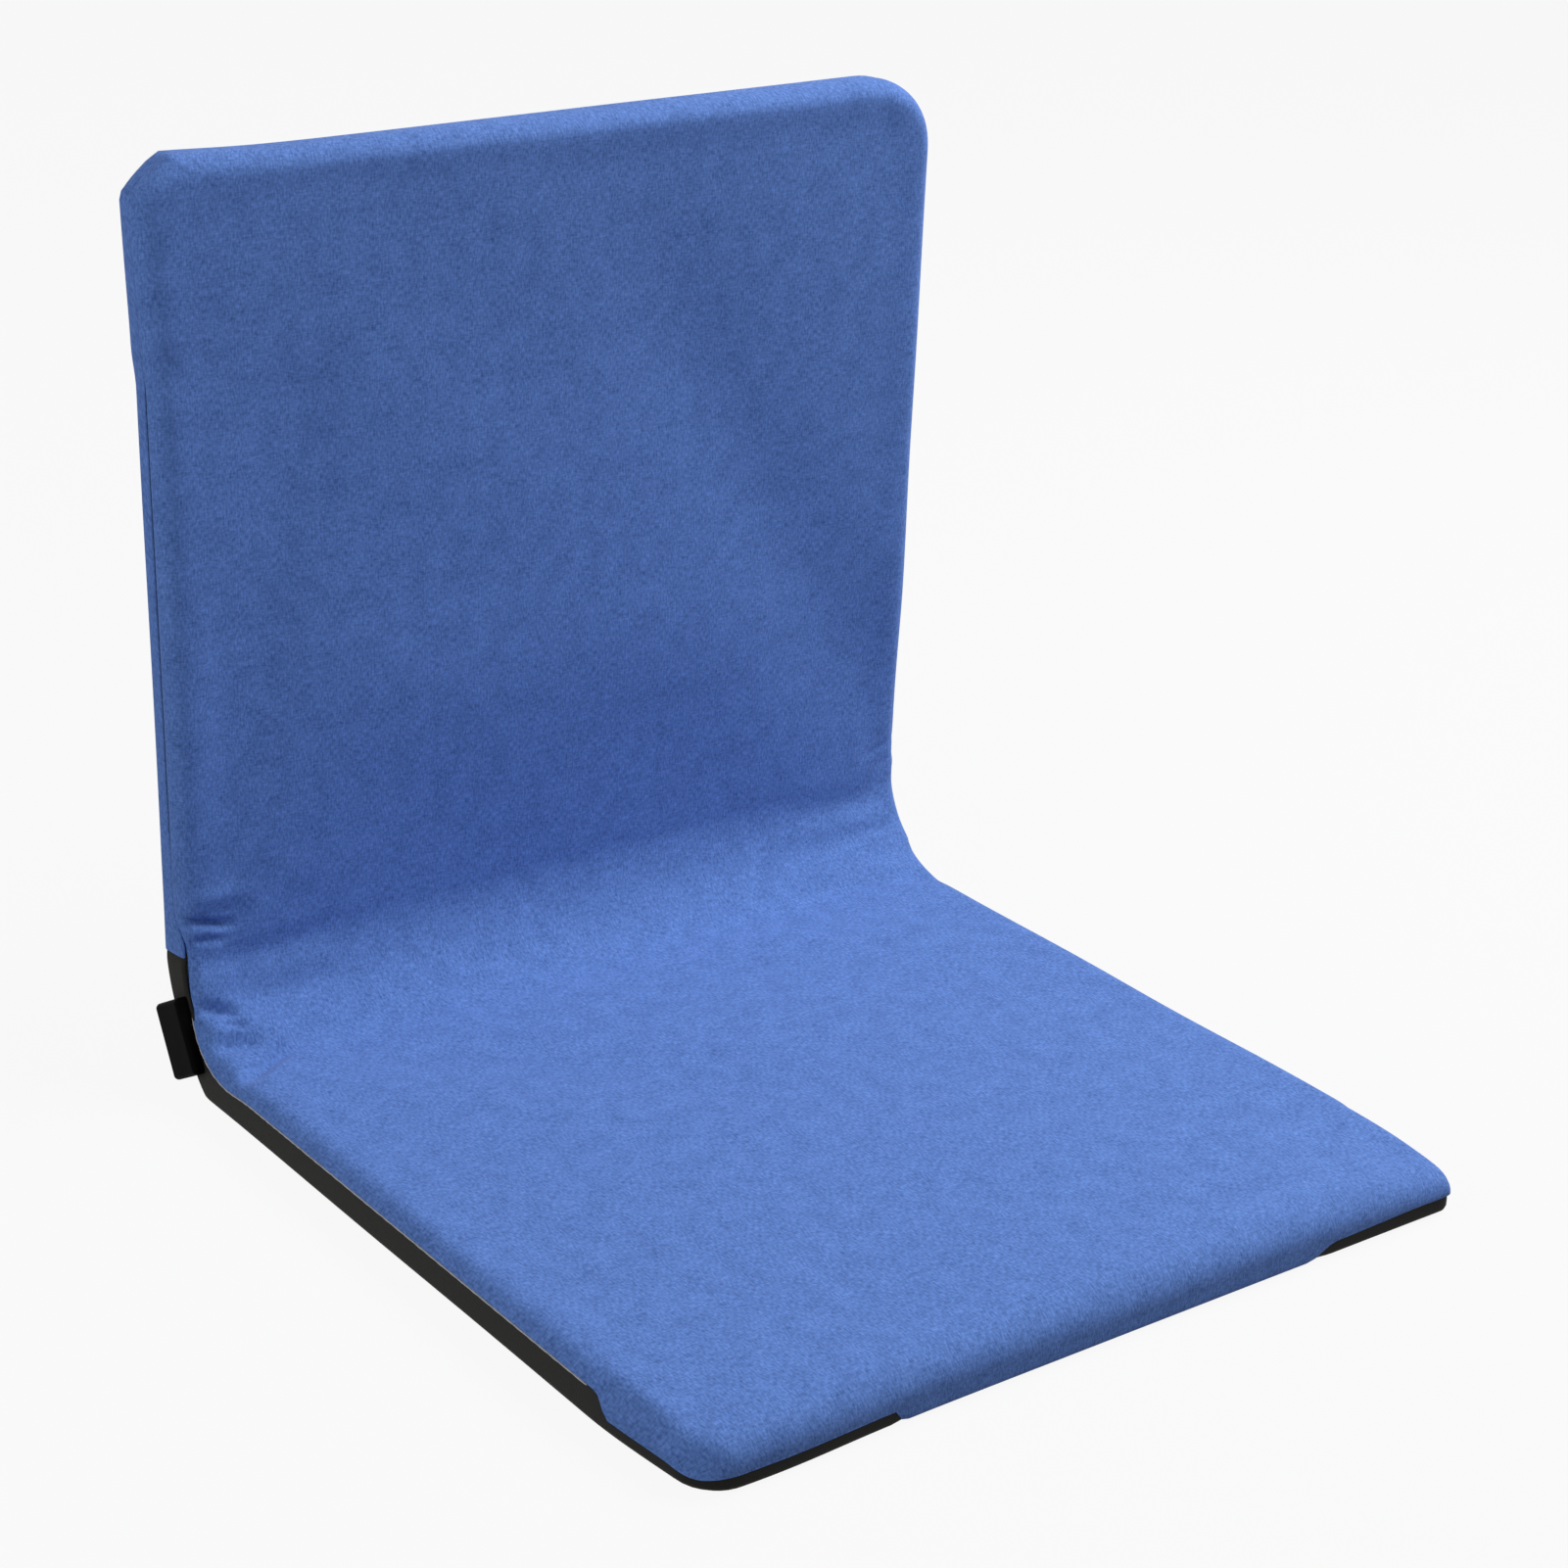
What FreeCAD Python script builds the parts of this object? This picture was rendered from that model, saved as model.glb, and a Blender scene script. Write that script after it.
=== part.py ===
import FreeCAD, Part
import math
import os
import Sketcher

# A legless reclining camping chair: a padded seat panel that lies on the ground and a padded back
# panel, joined by two ratchet hinges. Each panel is a bent tube frame with foam in a cloth cover.
#
# Frame: millimetres, +Z up, the chair faces -Y, left is -X as seen from the front. The origin is at
# the bottom centre of the upright chair. Each piece is drawn in the frame of its own panel, whose
# origin is the middle of the hinge axis: X across, Y the distance from the axis along the panel,
# Z the depth below the axis, from the seating face to the outer face.

SIZES = [
    # The two panels
    ("seat_width", 426.0, "width over the cloth at the hinges and along the seat"),
    ("seat_reach", 418.0, "hinge axis to the front edge of the seat"),
    ("back_reach", 421.0, "hinge axis to the top edge of the back"),
    ("back_flare", 6.0, "how much further out each side of the back stands at its top"),
    ("panel_thickness", 26.0, "seating face to outer face"),
    ("axis_offset", 3.8, "hinge axis in front of the seating faces"),
    ("seat_corner_radius", 26.0, "front corners of the seat's cloth in plan"),
    ("back_corner_radius", 38.0, "top corners of the back's cloth"),
    ("bend_radius", 46.0, "seating face of the cloth round the inner corner"),
    # Cloth
    ("cover_thickness", 1.2, "blue cloth with its wadding"),
    ("base_thickness", 1.5, "black coated cloth under the seat and round the corner"),
    ("roll_radius", 8.5, "rolled edge of the blue covers"),
    ("base_roll_radius", 6.0, "rolled edge of the outer covers"),
    ("cover_skirt", 9.0, "how far the blue covers come down the sides"),
    ("hood_length", 70.0, "length of the deeper skirt round the front of the seat"),
    ("hood_edge_height", 7.0, "black cloth left showing under that skirt"),
    ("tongue_left", 106.0, "blue tongue under the front edge, left of the middle"),
    ("tongue_right", 140.0, "blue tongue under the front edge, right of the middle"),
    ("tongue_under", 26.0, "how far the tongue goes back under the seat"),
    ("seam_gap", 0.3, "gap where two pieces of cloth meet"),
    # Tube frames
    ("tube_diameter", 16.0, "bent steel tube"),
    ("tube_wall", 1.2, "wall of that tube and of the cross bars"),
    ("frame_gap", 2.4, "tube to the outer cloth along its sides"),
    ("tube_lift", 0.1, "tube to the outer cloth below it"),
    ("tube_end", 46.0, "hinge axis to the open ends of the tubes"),
    ("tube_bend_radius", 30.0, "bends of the tubes, along their middle line"),
    ("bar_diameter", 12.0, "cross bar"),
    ("bar_distance", 67.0, "hinge axis to the cross bar"),
    # Foam
    ("foam_gap", 0.2, "foam to the cloth and to other foam"),
    ("topper_lift", 0.3, "top foam over the tubes"),
    ("core_gap", 2.0, "core foam to the tubes and the cross bar"),
    # Ratchet hinges
    ("plate_thickness", 3.0, "ratchet plate"),
    ("cheek_thickness", 2.0, "each of the two cheeks beside a ratchet plate"),
    ("washer_space", 0.5, "ratchet plate to cheek"),
    ("washer_diameter", 16.0, "nylon washer"),
    ("side_play", 0.05, "washers and rivet heads to the cheeks"),
    ("ear_radius", 9.8, "round end of plates and cheeks about the axis"),
    ("arm_half_width", 8.0, "arm of plates and cheeks at the axis"),
    ("arm_clear", 6.0, "full width of the tang outside the tube"),
    ("tang_length", 44.0, "tang inside the tube"),
    ("plate_tang_width", 11.0, "tang of the ratchet plate"),
    ("cheek_tang_width", 9.0, "tang of each cheek"),
    ("pivot_diameter", 6.0, "pivot rivet"),
    ("pivot_clearance", 0.05, "pivot rivet in the cheeks and washers, all round"),
    ("pivot_head_diameter", 10.0, "heads of the pivot rivet"),
    ("pivot_head_height", 2.0, "heads of the pivot rivet"),
    ("pivot_bore", 3.0, "hole in the outer end of the pivot rivet"),
    ("pivot_bore_depth", 6.0, "hole in the outer end of the pivot rivet"),
    ("ratchet_steps", 5.0, "steps of the back from upright to flat"),
    ("ratchet_span", 90.0, "angle from upright to flat"),
    ("notch_radius", 1.4, "notches of the ratchet plate"),
    ("pawl_tip_radius", 1.1, "nose of the pawl spring"),
    ("pawl_strip", 1.2, "blade of the pawl spring"),
    ("pawl_play", 0.2, "pawl spring to the cheeks"),
    ("pawl_eye_radius", 3.2, "eye of the pawl spring"),
    ("pawl_length", 29.0, "hinge axis to the eye of the pawl spring"),
    ("pawl_pin_diameter", 3.0, "rivet through the eye"),
    ("pawl_head_diameter", 6.0, "heads of that rivet"),
    ("pawl_head_height", 1.0, "heads of that rivet"),
    # Rivets that hold the tangs in the tubes
    ("rivet_diameter", 5.0, "shank"),
    ("rivet_head_diameter", 9.0, "head"),
    ("rivet_head_height", 1.8, "head"),
    ("first_rivet", 52.0, "hinge axis to the nearer rivet"),
    ("second_rivet", 82.0, "hinge axis to the further rivet"),
    # Caps over the hinge ends
    ("cap_length", 38.0, "along the outer corner"),
    ("cap_front", 4.0, "hinge axis to the front of the cap"),
    ("cap_rear", 22.5, "hinge axis to the rear of the cap"),
    ("cap_tilt", 29.3, "lean of the cap from upright, in degrees"),
    ("cap_reach", 5.0, "how far the cap stands out from the cloth"),
    ("cap_wall", 2.0, "moulded wall"),
    ("cap_edge_radius", 2.5, "rounded outer edges"),
    ("cap_gap", 0.3, "cap to the rivet head behind it"),
    ("cap_stud_clearance", 0.05, "stud of the cap in the pivot rivet, all round"),
    ("cap_slot_clearance", 0.5, "cloth cut away round the cap"),
]

document = FreeCAD.newDocument("reclining_chair")
sheet = document.addObject("Spreadsheet::Sheet", "Sizes")
for row, (alias, size, meaning) in enumerate(SIZES, start=1):
    sheet.set(f"A{row}", meaning)
    sheet.set(f"B{row}", str(size))
    sheet.setAlias(f"B{row}", alias)
document.recompute()

# Places that follow from the sizes, as expressions on the sheet
HALF_WIDTH = "Sizes.seat_width / 2"
FACE = "Sizes.axis_offset"
OUTER = "(Sizes.axis_offset + Sizes.panel_thickness)"
SKIRT = "(Sizes.axis_offset + Sizes.cover_skirt)"
TRAY_EDGE = f"({SKIRT} + Sizes.seam_gap)"
HOOD_EDGE = f"({OUTER} - Sizes.hood_edge_height)"
ROOT = "(Sizes.bend_radius - Sizes.axis_offset)"
TUBE_RADIUS = "(Sizes.tube_diameter / 2)"
TUBE_INSET = f"(Sizes.base_thickness + Sizes.frame_gap + {TUBE_RADIUS})"
TUBE_X = f"({HALF_WIDTH} - {TUBE_INSET})"
TUBE_DEPTH = f"({OUTER} - Sizes.base_thickness - Sizes.tube_lift - {TUBE_RADIUS})"
TOPPER_FLOOR = f"({TUBE_DEPTH} - {TUBE_RADIUS} - Sizes.topper_lift)"
CHEEK_INSIDE = "(Sizes.plate_thickness / 2 + Sizes.washer_space)"
CHEEK_OUTSIDE = f"({CHEEK_INSIDE} + Sizes.cheek_thickness)"
HEAD_SEAT = f"({CHEEK_OUTSIDE} + Sizes.side_play)"
HEAD_TOP = f"({HEAD_SEAT} + Sizes.pivot_head_height)"
ARM_START = "(Sizes.tube_end - Sizes.arm_clear)"
TANG_END = "(Sizes.tube_end + Sizes.tang_length)"
ARM_ANGLE = f"(atan2({TUBE_DEPTH}; {ARM_START}) / 1 deg)"
OVERCUT = "Sizes.panel_thickness"
AXIS_Y = f"(Sizes.seat_reach - {OUTER}) / 2"
AXIS_Z = OUTER
HALF_TURN = 180
QUARTER_TURN = 90

UPRIGHT = FreeCAD.Vector(0, 0, 1)

# Two lengths closer than this, in millimetres, count as the same
SAME = 0.01

# Places on a sketch's edge that a constraint may hold
START, END, CENTRE = range(1, 4)
ORIGIN = -START

nodes = []


class Panel:
    """One of the two panels: its own sizes, and how its frame is turned into the chair's frame."""

    def __init__(self, name, reach, flare, corner, wall, turn_axis, across):
        self.name = name
        self.reach = reach
        self.flare = flare
        self.corner = corner
        self.wall = wall
        self.turn = FreeCAD.Rotation(FreeCAD.Vector(*turn_axis), HALF_TURN)
        self.across = across


SEAT = Panel(
    "seat", "Sizes.seat_reach", "0", "Sizes.seat_corner_radius", "Sizes.base_thickness", (1, 0, 0), 1
)
BACK = Panel(
    "back",
    "Sizes.back_reach",
    "Sizes.back_flare",
    "Sizes.back_corner_radius",
    "Sizes.cover_thickness",
    (0, 1, 1),
    -1,
)
SIDES = {"left": -1, "right": 1}


def value(expression):
    """The number that an expression on the sheet stands for."""
    return float(sheet.evalExpression(expression))


def bind(thing, expressions):
    """Ties properties of an object to expressions on the sheet."""
    for name, expression in expressions.items():
        thing.setExpression(name, expression)
    return thing


def finish(thing, label, panel):
    """Names a finished piece and turns it from its panel's frame into the chair's frame."""
    thing.Label = label
    thing.Placement = FreeCAD.Placement(FreeCAD.Vector(0, value(AXIS_Y), value(AXIS_Z)), panel.turn)
    bind(thing, {"Placement.Base.y": AXIS_Y, "Placement.Base.z": AXIS_Z})
    nodes.append(thing)
    return thing


# Sketches and features

def new_body(name):
    return document.addObject("PartDesign::Body", name)


def sketch_on(body, name, role, lift="0", turn="0"):
    """A sketch on one of the body's own planes, lifted along its normal and turned in its plane."""
    sketch = body.newObject("Sketcher::SketchObject", name)
    plane = [feature for feature in body.Origin.OriginFeatures if feature.Role == role][0]
    sketch.AttachmentSupport = [(plane, "")]
    sketch.MapMode = "FlatFace"
    turned = FreeCAD.Rotation(UPRIGHT, value(turn))
    sketch.AttachmentOffset = FreeCAD.Placement(FreeCAD.Vector(0, 0, value(lift)), turned)
    bind(sketch, {"AttachmentOffset.Base.z": lift})
    if turn != "0":
        bind(sketch, {"AttachmentOffset.Rotation.Angle": turn})
    return sketch


def hold_point(sketch, edge, end, across, along):
    """Ties one end of an edge, or the centre of a circle, to two expressions."""
    for kind, expression in (("DistanceX", across), ("DistanceY", along)):
        number = sketch.addConstraint(
            Sketcher.Constraint(kind, ORIGIN, START, edge, end, value(expression))
        )
        bind(sketch, {f"Constraints[{number}]": expression})


def hold_radius(sketch, edge, radius):
    number = sketch.addConstraint(Sketcher.Constraint("Radius", edge, value(radius)))
    bind(sketch, {f"Constraints[{number}]": radius})


def draw_line(sketch, start, end):
    return sketch.addGeometry(
        Part.LineSegment(FreeCAD.Vector(*start, 0), FreeCAD.Vector(*end, 0)), False
    )


def draw_polygon(sketch, corners):
    """A closed outline of straight edges, each corner a pair of expressions."""
    places = [(value(across), value(along)) for across, along in corners]
    edges = [
        draw_line(sketch, place, places[(number + 1) % len(places)])
        for number, place in enumerate(places)
    ]
    for number, edge in enumerate(edges):
        following = edges[(number + 1) % len(edges)]
        sketch.addConstraint(Sketcher.Constraint("Coincident", edge, END, following, START))
    for edge, (across, along) in zip(edges, corners):
        hold_point(sketch, edge, START, across, along)


def draw_rectangle(sketch, left, right, low, high):
    draw_polygon(sketch, [(left, low), (right, low), (right, high), (left, high)])


def draw_circle(sketch, across, along, radius):
    centre = FreeCAD.Vector(value(across), value(along), 0)
    edge = sketch.addGeometry(Part.Circle(centre, UPRIGHT, value(radius)), False)
    hold_point(sketch, edge, CENTRE, across, along)
    hold_radius(sketch, edge, radius)


def pad(body, sketch, length):
    feature = body.newObject("PartDesign::Pad", sketch.Name + "_pad")
    feature.Profile = sketch
    bind(feature, {"Length": length})
    document.recompute()
    return feature


def cut_through(body, sketch):
    """Cuts a sketch right through the body, both ways, and checks that material went."""
    before = body.Shape.Volume
    feature = body.newObject("PartDesign::Pocket", sketch.Name + "_cut")
    feature.Profile = sketch
    feature.Type = "ThroughAll"
    feature.SideType = "Symmetric"
    document.recompute()
    if body.Shape.Volume >= before:
        raise ValueError(f"{feature.Name} cuts nothing")
    return feature


def round_edges(body, feature, wanted, radius):
    """Rounds the edges of a feature that pass a test."""
    names = [f"Edge{number}" for number, edge in enumerate(feature.Shape.Edges, 1) if wanted(edge)]
    if not names:
        raise ValueError(f"no edge to round on {feature.Name}")
    rounded = body.newObject("PartDesign::Fillet", feature.Name + "_round")
    rounded.Base = (feature, names)
    bind(rounded, {"Radius": radius})
    document.recompute()
    return rounded


# Solids made by adding and taking away

def box(name, left, right, near, far, shallow, deep):
    solid = document.addObject("Part::Box", name)
    return bind(
        solid,
        {
            "Length": f"{right} - ({left})",
            "Width": f"{far} - ({near})",
            "Height": f"{deep} - ({shallow})",
            "Placement.Base.x": left,
            "Placement.Base.y": near,
            "Placement.Base.z": shallow,
        },
    )


def rod(name, radius, left, right, along="0", depth="0"):
    """A round rod across the chair."""
    solid = document.addObject("Part::Cylinder", name)
    across = FreeCAD.Rotation(FreeCAD.Vector(0, 1, 0), QUARTER_TURN)
    solid.Placement = FreeCAD.Placement(FreeCAD.Vector(), across)
    return bind(
        solid,
        {
            "Radius": radius,
            "Height": f"{right} - ({left})",
            "Placement.Base.x": left,
            "Placement.Base.y": along,
            "Placement.Base.z": depth,
        },
    )


def taken_away(name, base, tool):
    solid = document.addObject("Part::Cut", name)
    solid.Base = base
    solid.Tool = tool
    document.recompute()
    return solid


def joined(name, solids):
    solid = document.addObject("Part::MultiFuse", name)
    solid.Shapes = solids
    document.recompute()
    return solid


def shared(name, base, tool):
    solid = document.addObject("Part::Common", name)
    solid.Base = base
    solid.Tool = tool
    document.recompute()
    return solid


def group(name, solids):
    """Separate solids that make one node."""
    solid = document.addObject("Part::Compound", name)
    solid.Links = solids
    document.recompute()
    return solid


# Cloth and foam of a panel

def round_far_corners(body, feature, far, radius):
    """Rounds the two upright edges at the far end of a panel's piece."""
    far_edge = value(far)

    def at_corner(edge):
        first, last = edge.Vertexes
        return abs(first.Y - far_edge) < SAME and (first.Point - last.Point).cross(UPRIGHT).Length < SAME

    return round_edges(body, feature, at_corner, radius)


def outline_pad(panel, name, inset, root, near, far):
    """A panel's outline in plan, inset from the cloth's outer side, between two depths."""
    body = new_body(name)
    sketch = sketch_on(body, name + "_plan", "XY_Plane", near)
    at_root = f"{HALF_WIDTH} - {inset}"
    at_tip = f"{HALF_WIDTH} + {panel.flare} - {inset}"
    tip = f"{panel.reach} - {inset}"
    draw_polygon(
        sketch,
        [(f"-({at_root})", root), (at_root, root), (at_tip, tip), (f"-({at_tip})", tip)],
    )
    plain = pad(body, sketch, f"{far} - ({near})")
    return body, round_far_corners(body, plain, tip, f"{panel.corner} - {inset}")


def roll_edge(body, feature, root, outermost, radius):
    """Rolls the rim of the body's top or bottom face, apart from the end at the hinge."""
    face = outermost(feature.Shape.Faces, key=lambda each: each.CenterOfMass.z)
    start = value(root)

    def on_rim(edge):
        return abs(edge.CenterOfMass.y - start) > SAME and any(edge.isSame(rim) for rim in face.Edges)

    return round_edges(body, feature, on_rim, radius)


def padded_solid(panel, name, inset, root, far=OUTER):
    """The space inside a padded face: flat and taut, with rounded corners and a rolled rim."""
    body, feature = outline_pad(panel, name, inset, root, f"({FACE} + {inset})", OUTER)
    roll_edge(body, feature, root, min, f"Sizes.roll_radius - {inset}")
    if far != OUTER:
        rest = sketch_on(body, name + "_rest", "XZ_Plane")
        draw_rectangle(rest, "-Sizes.seat_width", "Sizes.seat_width", far, f"{OUTER} + {OVERCUT}")
        cut_through(body, rest)
    return body


def tray_solid(panel, name, inset, root, near):
    """The space inside an outer cover: flat, with rounded corners and a rolled lower rim."""
    body, feature = outline_pad(panel, name, inset, root, near, f"({OUTER} - {inset})")
    roll_edge(body, feature, root, max, f"Sizes.base_roll_radius - {inset}")
    return body


def cover_cloth(panel, far):
    """Blue cloth over a panel's padded face, open below and at the hinge."""
    name = panel.name + "_cloth"
    inside = f"({ROOT} - {OVERCUT})"
    outer = padded_solid(panel, name + "_outside", "0", ROOT, far)
    inner = padded_solid(panel, name + "_inside", "Sizes.cover_thickness", inside)
    return taken_away(name, outer, inner)


def tray_cloth(panel):
    """Cloth over a panel's outer face and the lower part of its sides, open at the hinge."""
    name = panel.name + "_tray"
    inside = f"({ROOT} - {OVERCUT})"
    outer = tray_solid(panel, name + "_outside", "0", ROOT, TRAY_EDGE)
    inner = tray_solid(panel, name + "_inside", panel.wall, inside, f"({TRAY_EDGE} - {OVERCUT})")
    return taken_away(name, outer, inner)


def top_foam(panel):
    """Sheet of foam over the tubes, that gives the cover its rolled rim."""
    inset = "(Sizes.cover_thickness + Sizes.foam_gap)"
    return padded_solid(panel, panel.name + "_topper", inset, "Sizes.tube_end", TOPPER_FLOOR)


def core_foam(panel):
    """Slab of foam inside the tube frame, between the cross bar and the bend of the tube."""
    name = panel.name + "_core"
    inset = f"({TUBE_INSET} + {TUBE_RADIUS} + Sizes.core_gap)"
    body = new_body(name)
    sketch = sketch_on(body, name + "_plan", "XY_Plane", f"{TOPPER_FLOOR} + Sizes.foam_gap")
    side = f"({HALF_WIDTH} - {inset})"
    start = "(Sizes.bar_distance + Sizes.bar_diameter / 2 + Sizes.core_gap)"
    far = f"{panel.reach} - {inset}"
    draw_rectangle(sketch, f"-{side}", side, start, far)
    plain = pad(body, sketch, f"{OUTER} - {panel.wall} - {TOPPER_FLOOR} - 2 * Sizes.foam_gap")
    round_far_corners(body, plain, far, "Sizes.tube_bend_radius - Sizes.core_gap")
    return body


# Seat cloth: the tongue under the front edge is part of the blue cover, and the black base is cut
# away for it and for the deeper skirt round the front corners

seat_tray = tray_cloth(SEAT)
seat_cloth = cover_cloth(SEAT, HOOD_EDGE)
skirt_room = box(
    "skirt_room",
    "-Sizes.seat_width",
    "Sizes.seat_width",
    f"{ROOT} - {OVERCUT}",
    "Sizes.seat_reach - Sizes.hood_length",
    SKIRT,
    f"{OUTER} + {OVERCUT}",
)
seat_skirted = taken_away("seat_skirted", seat_cloth, skirt_room)
tongue_room = box(
    "tongue_room",
    "-Sizes.tongue_left",
    "Sizes.tongue_right",
    "Sizes.seat_reach - Sizes.tongue_under",
    f"Sizes.seat_reach + {OVERCUT}",
    HOOD_EDGE,
    f"{OUTER} + {OVERCUT}",
)
tongue = shared("tongue", seat_tray, tongue_room)
finish(joined("seat_cover", [seat_skirted, tongue]), "seat_cover", SEAT)

tongue_slot = box(
    "tongue_slot",
    "-Sizes.tongue_left - Sizes.seam_gap",
    "Sizes.tongue_right + Sizes.seam_gap",
    "Sizes.seat_reach - Sizes.tongue_under - Sizes.seam_gap",
    f"Sizes.seat_reach + {OVERCUT}",
    f"{SKIRT} - {OVERCUT}",
    f"{OUTER} + {OVERCUT}",
)
hood_slot = box(
    "hood_slot",
    "-Sizes.seat_width",
    "Sizes.seat_width",
    "Sizes.seat_reach - Sizes.hood_length - Sizes.seam_gap",
    f"Sizes.seat_reach + {OVERCUT}",
    f"{SKIRT} - {OVERCUT}",
    f"{HOOD_EDGE} + Sizes.seam_gap",
)
base_slots = joined("base_slots", [tongue_slot, hood_slot])
finish(taken_away("seat_base", seat_tray, base_slots), "seat_base", SEAT)

# Back cloth: a front cover and a rear cover that meet along the sides

finish(cover_cloth(BACK, SKIRT), "back_cover", BACK)
finish(tray_cloth(BACK), "back_rear_cover", BACK)


# Tube frames

def tube_frame(panel):
    """A tube bent to a U, open at the hinge, with cross holes for the rivets of its tangs."""
    label = panel.name + "_frame"
    body = new_body(label)
    path = sketch_on(body, label + "_path", "XY_Plane", TUBE_DEPTH)
    side = value(TUBE_X)
    start = value("Sizes.tube_end")
    tip = f"({panel.reach} - {TUBE_INSET})"
    bend = "Sizes.tube_bend_radius"
    end = value(tip)
    radius = value(bend)
    middle = radius * (1 - math.cos(math.radians(QUARTER_TURN / 2)))
    left = draw_line(path, (-side, start), (-side, end - radius))
    corner_left = path.addGeometry(
        Part.Arc(
            FreeCAD.Vector(-side, end - radius, 0),
            FreeCAD.Vector(-side + middle, end - middle, 0),
            FreeCAD.Vector(-side + radius, end, 0),
        ),
        False,
    )
    across = draw_line(path, (-side + radius, end), (side - radius, end))
    corner_right = path.addGeometry(
        Part.Arc(
            FreeCAD.Vector(side - radius, end, 0),
            FreeCAD.Vector(side - middle, end - middle, 0),
            FreeCAD.Vector(side, end - radius, 0),
        ),
        False,
    )
    right = draw_line(path, (side, end - radius), (side, start))
    arcs = (corner_left, corner_right)
    chain = [left, corner_left, across, corner_right, right]
    for before, after in zip(chain, chain[1:]):
        apart = (path.getPoint(before, END) - path.getPoint(after, START)).Length > SAME
        leaving = START if apart and before in arcs else END
        joining = END if apart and after in arcs else START
        path.addConstraint(Sketcher.Constraint("Tangent", before, leaving, after, joining))
    path.addConstraint(Sketcher.Constraint("Vertical", left))
    path.addConstraint(Sketcher.Constraint("Vertical", right))
    hold_point(path, left, START, f"-{TUBE_X}", "Sizes.tube_end")
    hold_point(path, right, END, TUBE_X, "Sizes.tube_end")
    hold_radius(path, corner_left, bend)
    hold_radius(path, corner_right, bend)
    number = path.addConstraint(Sketcher.Constraint("DistanceY", ORIGIN, START, across, START, end))
    bind(path, {f"Constraints[{number}]": tip})

    section = sketch_on(body, label + "_section", "XZ_Plane", "-Sizes.tube_end")
    draw_circle(section, f"-{TUBE_X}", TUBE_DEPTH, TUBE_RADIUS)
    draw_circle(section, f"-{TUBE_X}", TUBE_DEPTH, f"{TUBE_RADIUS} - Sizes.tube_wall")
    pipe = body.newObject("PartDesign::AdditivePipe", label + "_tube")
    pipe.Profile = section
    pipe.Spine = path
    document.recompute()

    holes = sketch_on(body, label + "_holes", "YZ_Plane")
    for distance in ("Sizes.first_rivet", "Sizes.second_rivet"):
        draw_circle(holes, distance, TUBE_DEPTH, "Sizes.rivet_diameter / 2")
    cut_through(body, holes)
    return finish(body, label, panel)


def cross_bar(panel):
    """A tube across the frame near the hinge, its ends shaped to the legs that they are welded to."""
    label = panel.name + "_cross_bar"
    place = ("Sizes.bar_distance", TUBE_DEPTH)
    radius = "Sizes.bar_diameter / 2"
    whole = rod(label + "_outside", radius, f"-{TUBE_X}", TUBE_X, *place)
    bore = rod(label + "_bore", f"{radius} - Sizes.tube_wall", f"-{TUBE_X}", TUBE_X, *place)
    tools = [bore]
    for side, sign in SIDES.items():
        leg = document.addObject("Part::Cylinder", f"{label}_leg_{side}")
        along = FreeCAD.Rotation(FreeCAD.Vector(1, 0, 0), -QUARTER_TURN)
        leg.Placement = FreeCAD.Placement(FreeCAD.Vector(), along)
        bind(
            leg,
            {
                "Radius": TUBE_RADIUS,
                "Height": "2 * Sizes.bar_distance",
                "Placement.Base.x": f"{sign} * {TUBE_X}",
                "Placement.Base.z": TUBE_DEPTH,
            },
        )
        tools.append(leg)
    return finish(taken_away(label, whole, joined(label + "_tools", tools)), label, panel)


for panel in (SEAT, BACK):
    tube_frame(panel)
    cross_bar(panel)
    finish(core_foam(panel), panel.name + "_core_foam", panel)
    finish(top_foam(panel), panel.name + "_top_foam", panel)


# Ratchet hinges

def stamped(panel, label, side, inner, outer, tang_width, pivot_radius):
    """A stamped plate from its tang in the tube to its round ear on the axis."""
    sign = SIDES[side] * panel.across
    low = across_ends(sign, f"{sign} * {TUBE_X}", inner, outer)[0]
    body = new_body(label)
    blade = sketch_on(body, label + "_blade", "YZ_Plane", low)
    half = f"{tang_width} / 2"
    draw_polygon(
        blade,
        [
            ("0", "-Sizes.arm_half_width"),
            (ARM_START, f"{TUBE_DEPTH} - {half}"),
            (TANG_END, f"{TUBE_DEPTH} - {half}"),
            (TANG_END, f"{TUBE_DEPTH} + {half}"),
            (ARM_START, f"{TUBE_DEPTH} + {half}"),
            ("0", "Sizes.arm_half_width"),
        ],
    )
    pad(body, blade, f"{outer} - ({inner})")
    ear = sketch_on(body, label + "_ear", "YZ_Plane", low)
    draw_circle(ear, "0", "0", "Sizes.ear_radius")
    pad(body, ear, f"{outer} - ({inner})")
    holes = sketch_on(body, label + "_holes", "YZ_Plane", low)
    draw_circle(holes, "0", "0", pivot_radius)
    for distance in ("Sizes.first_rivet", "Sizes.second_rivet"):
        draw_circle(holes, distance, TUBE_DEPTH, "Sizes.rivet_diameter / 2")
    cut_through(body, holes)
    return body


def across_ends(sign, middle, near, far):
    """The lower and the higher end across the chair of a stretch measured outwards from a hinge."""
    ends = (f"{middle} + {sign} * ({near})", f"{middle} + {sign} * ({far})")
    return ends if sign > 0 else ends[::-1]


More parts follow.
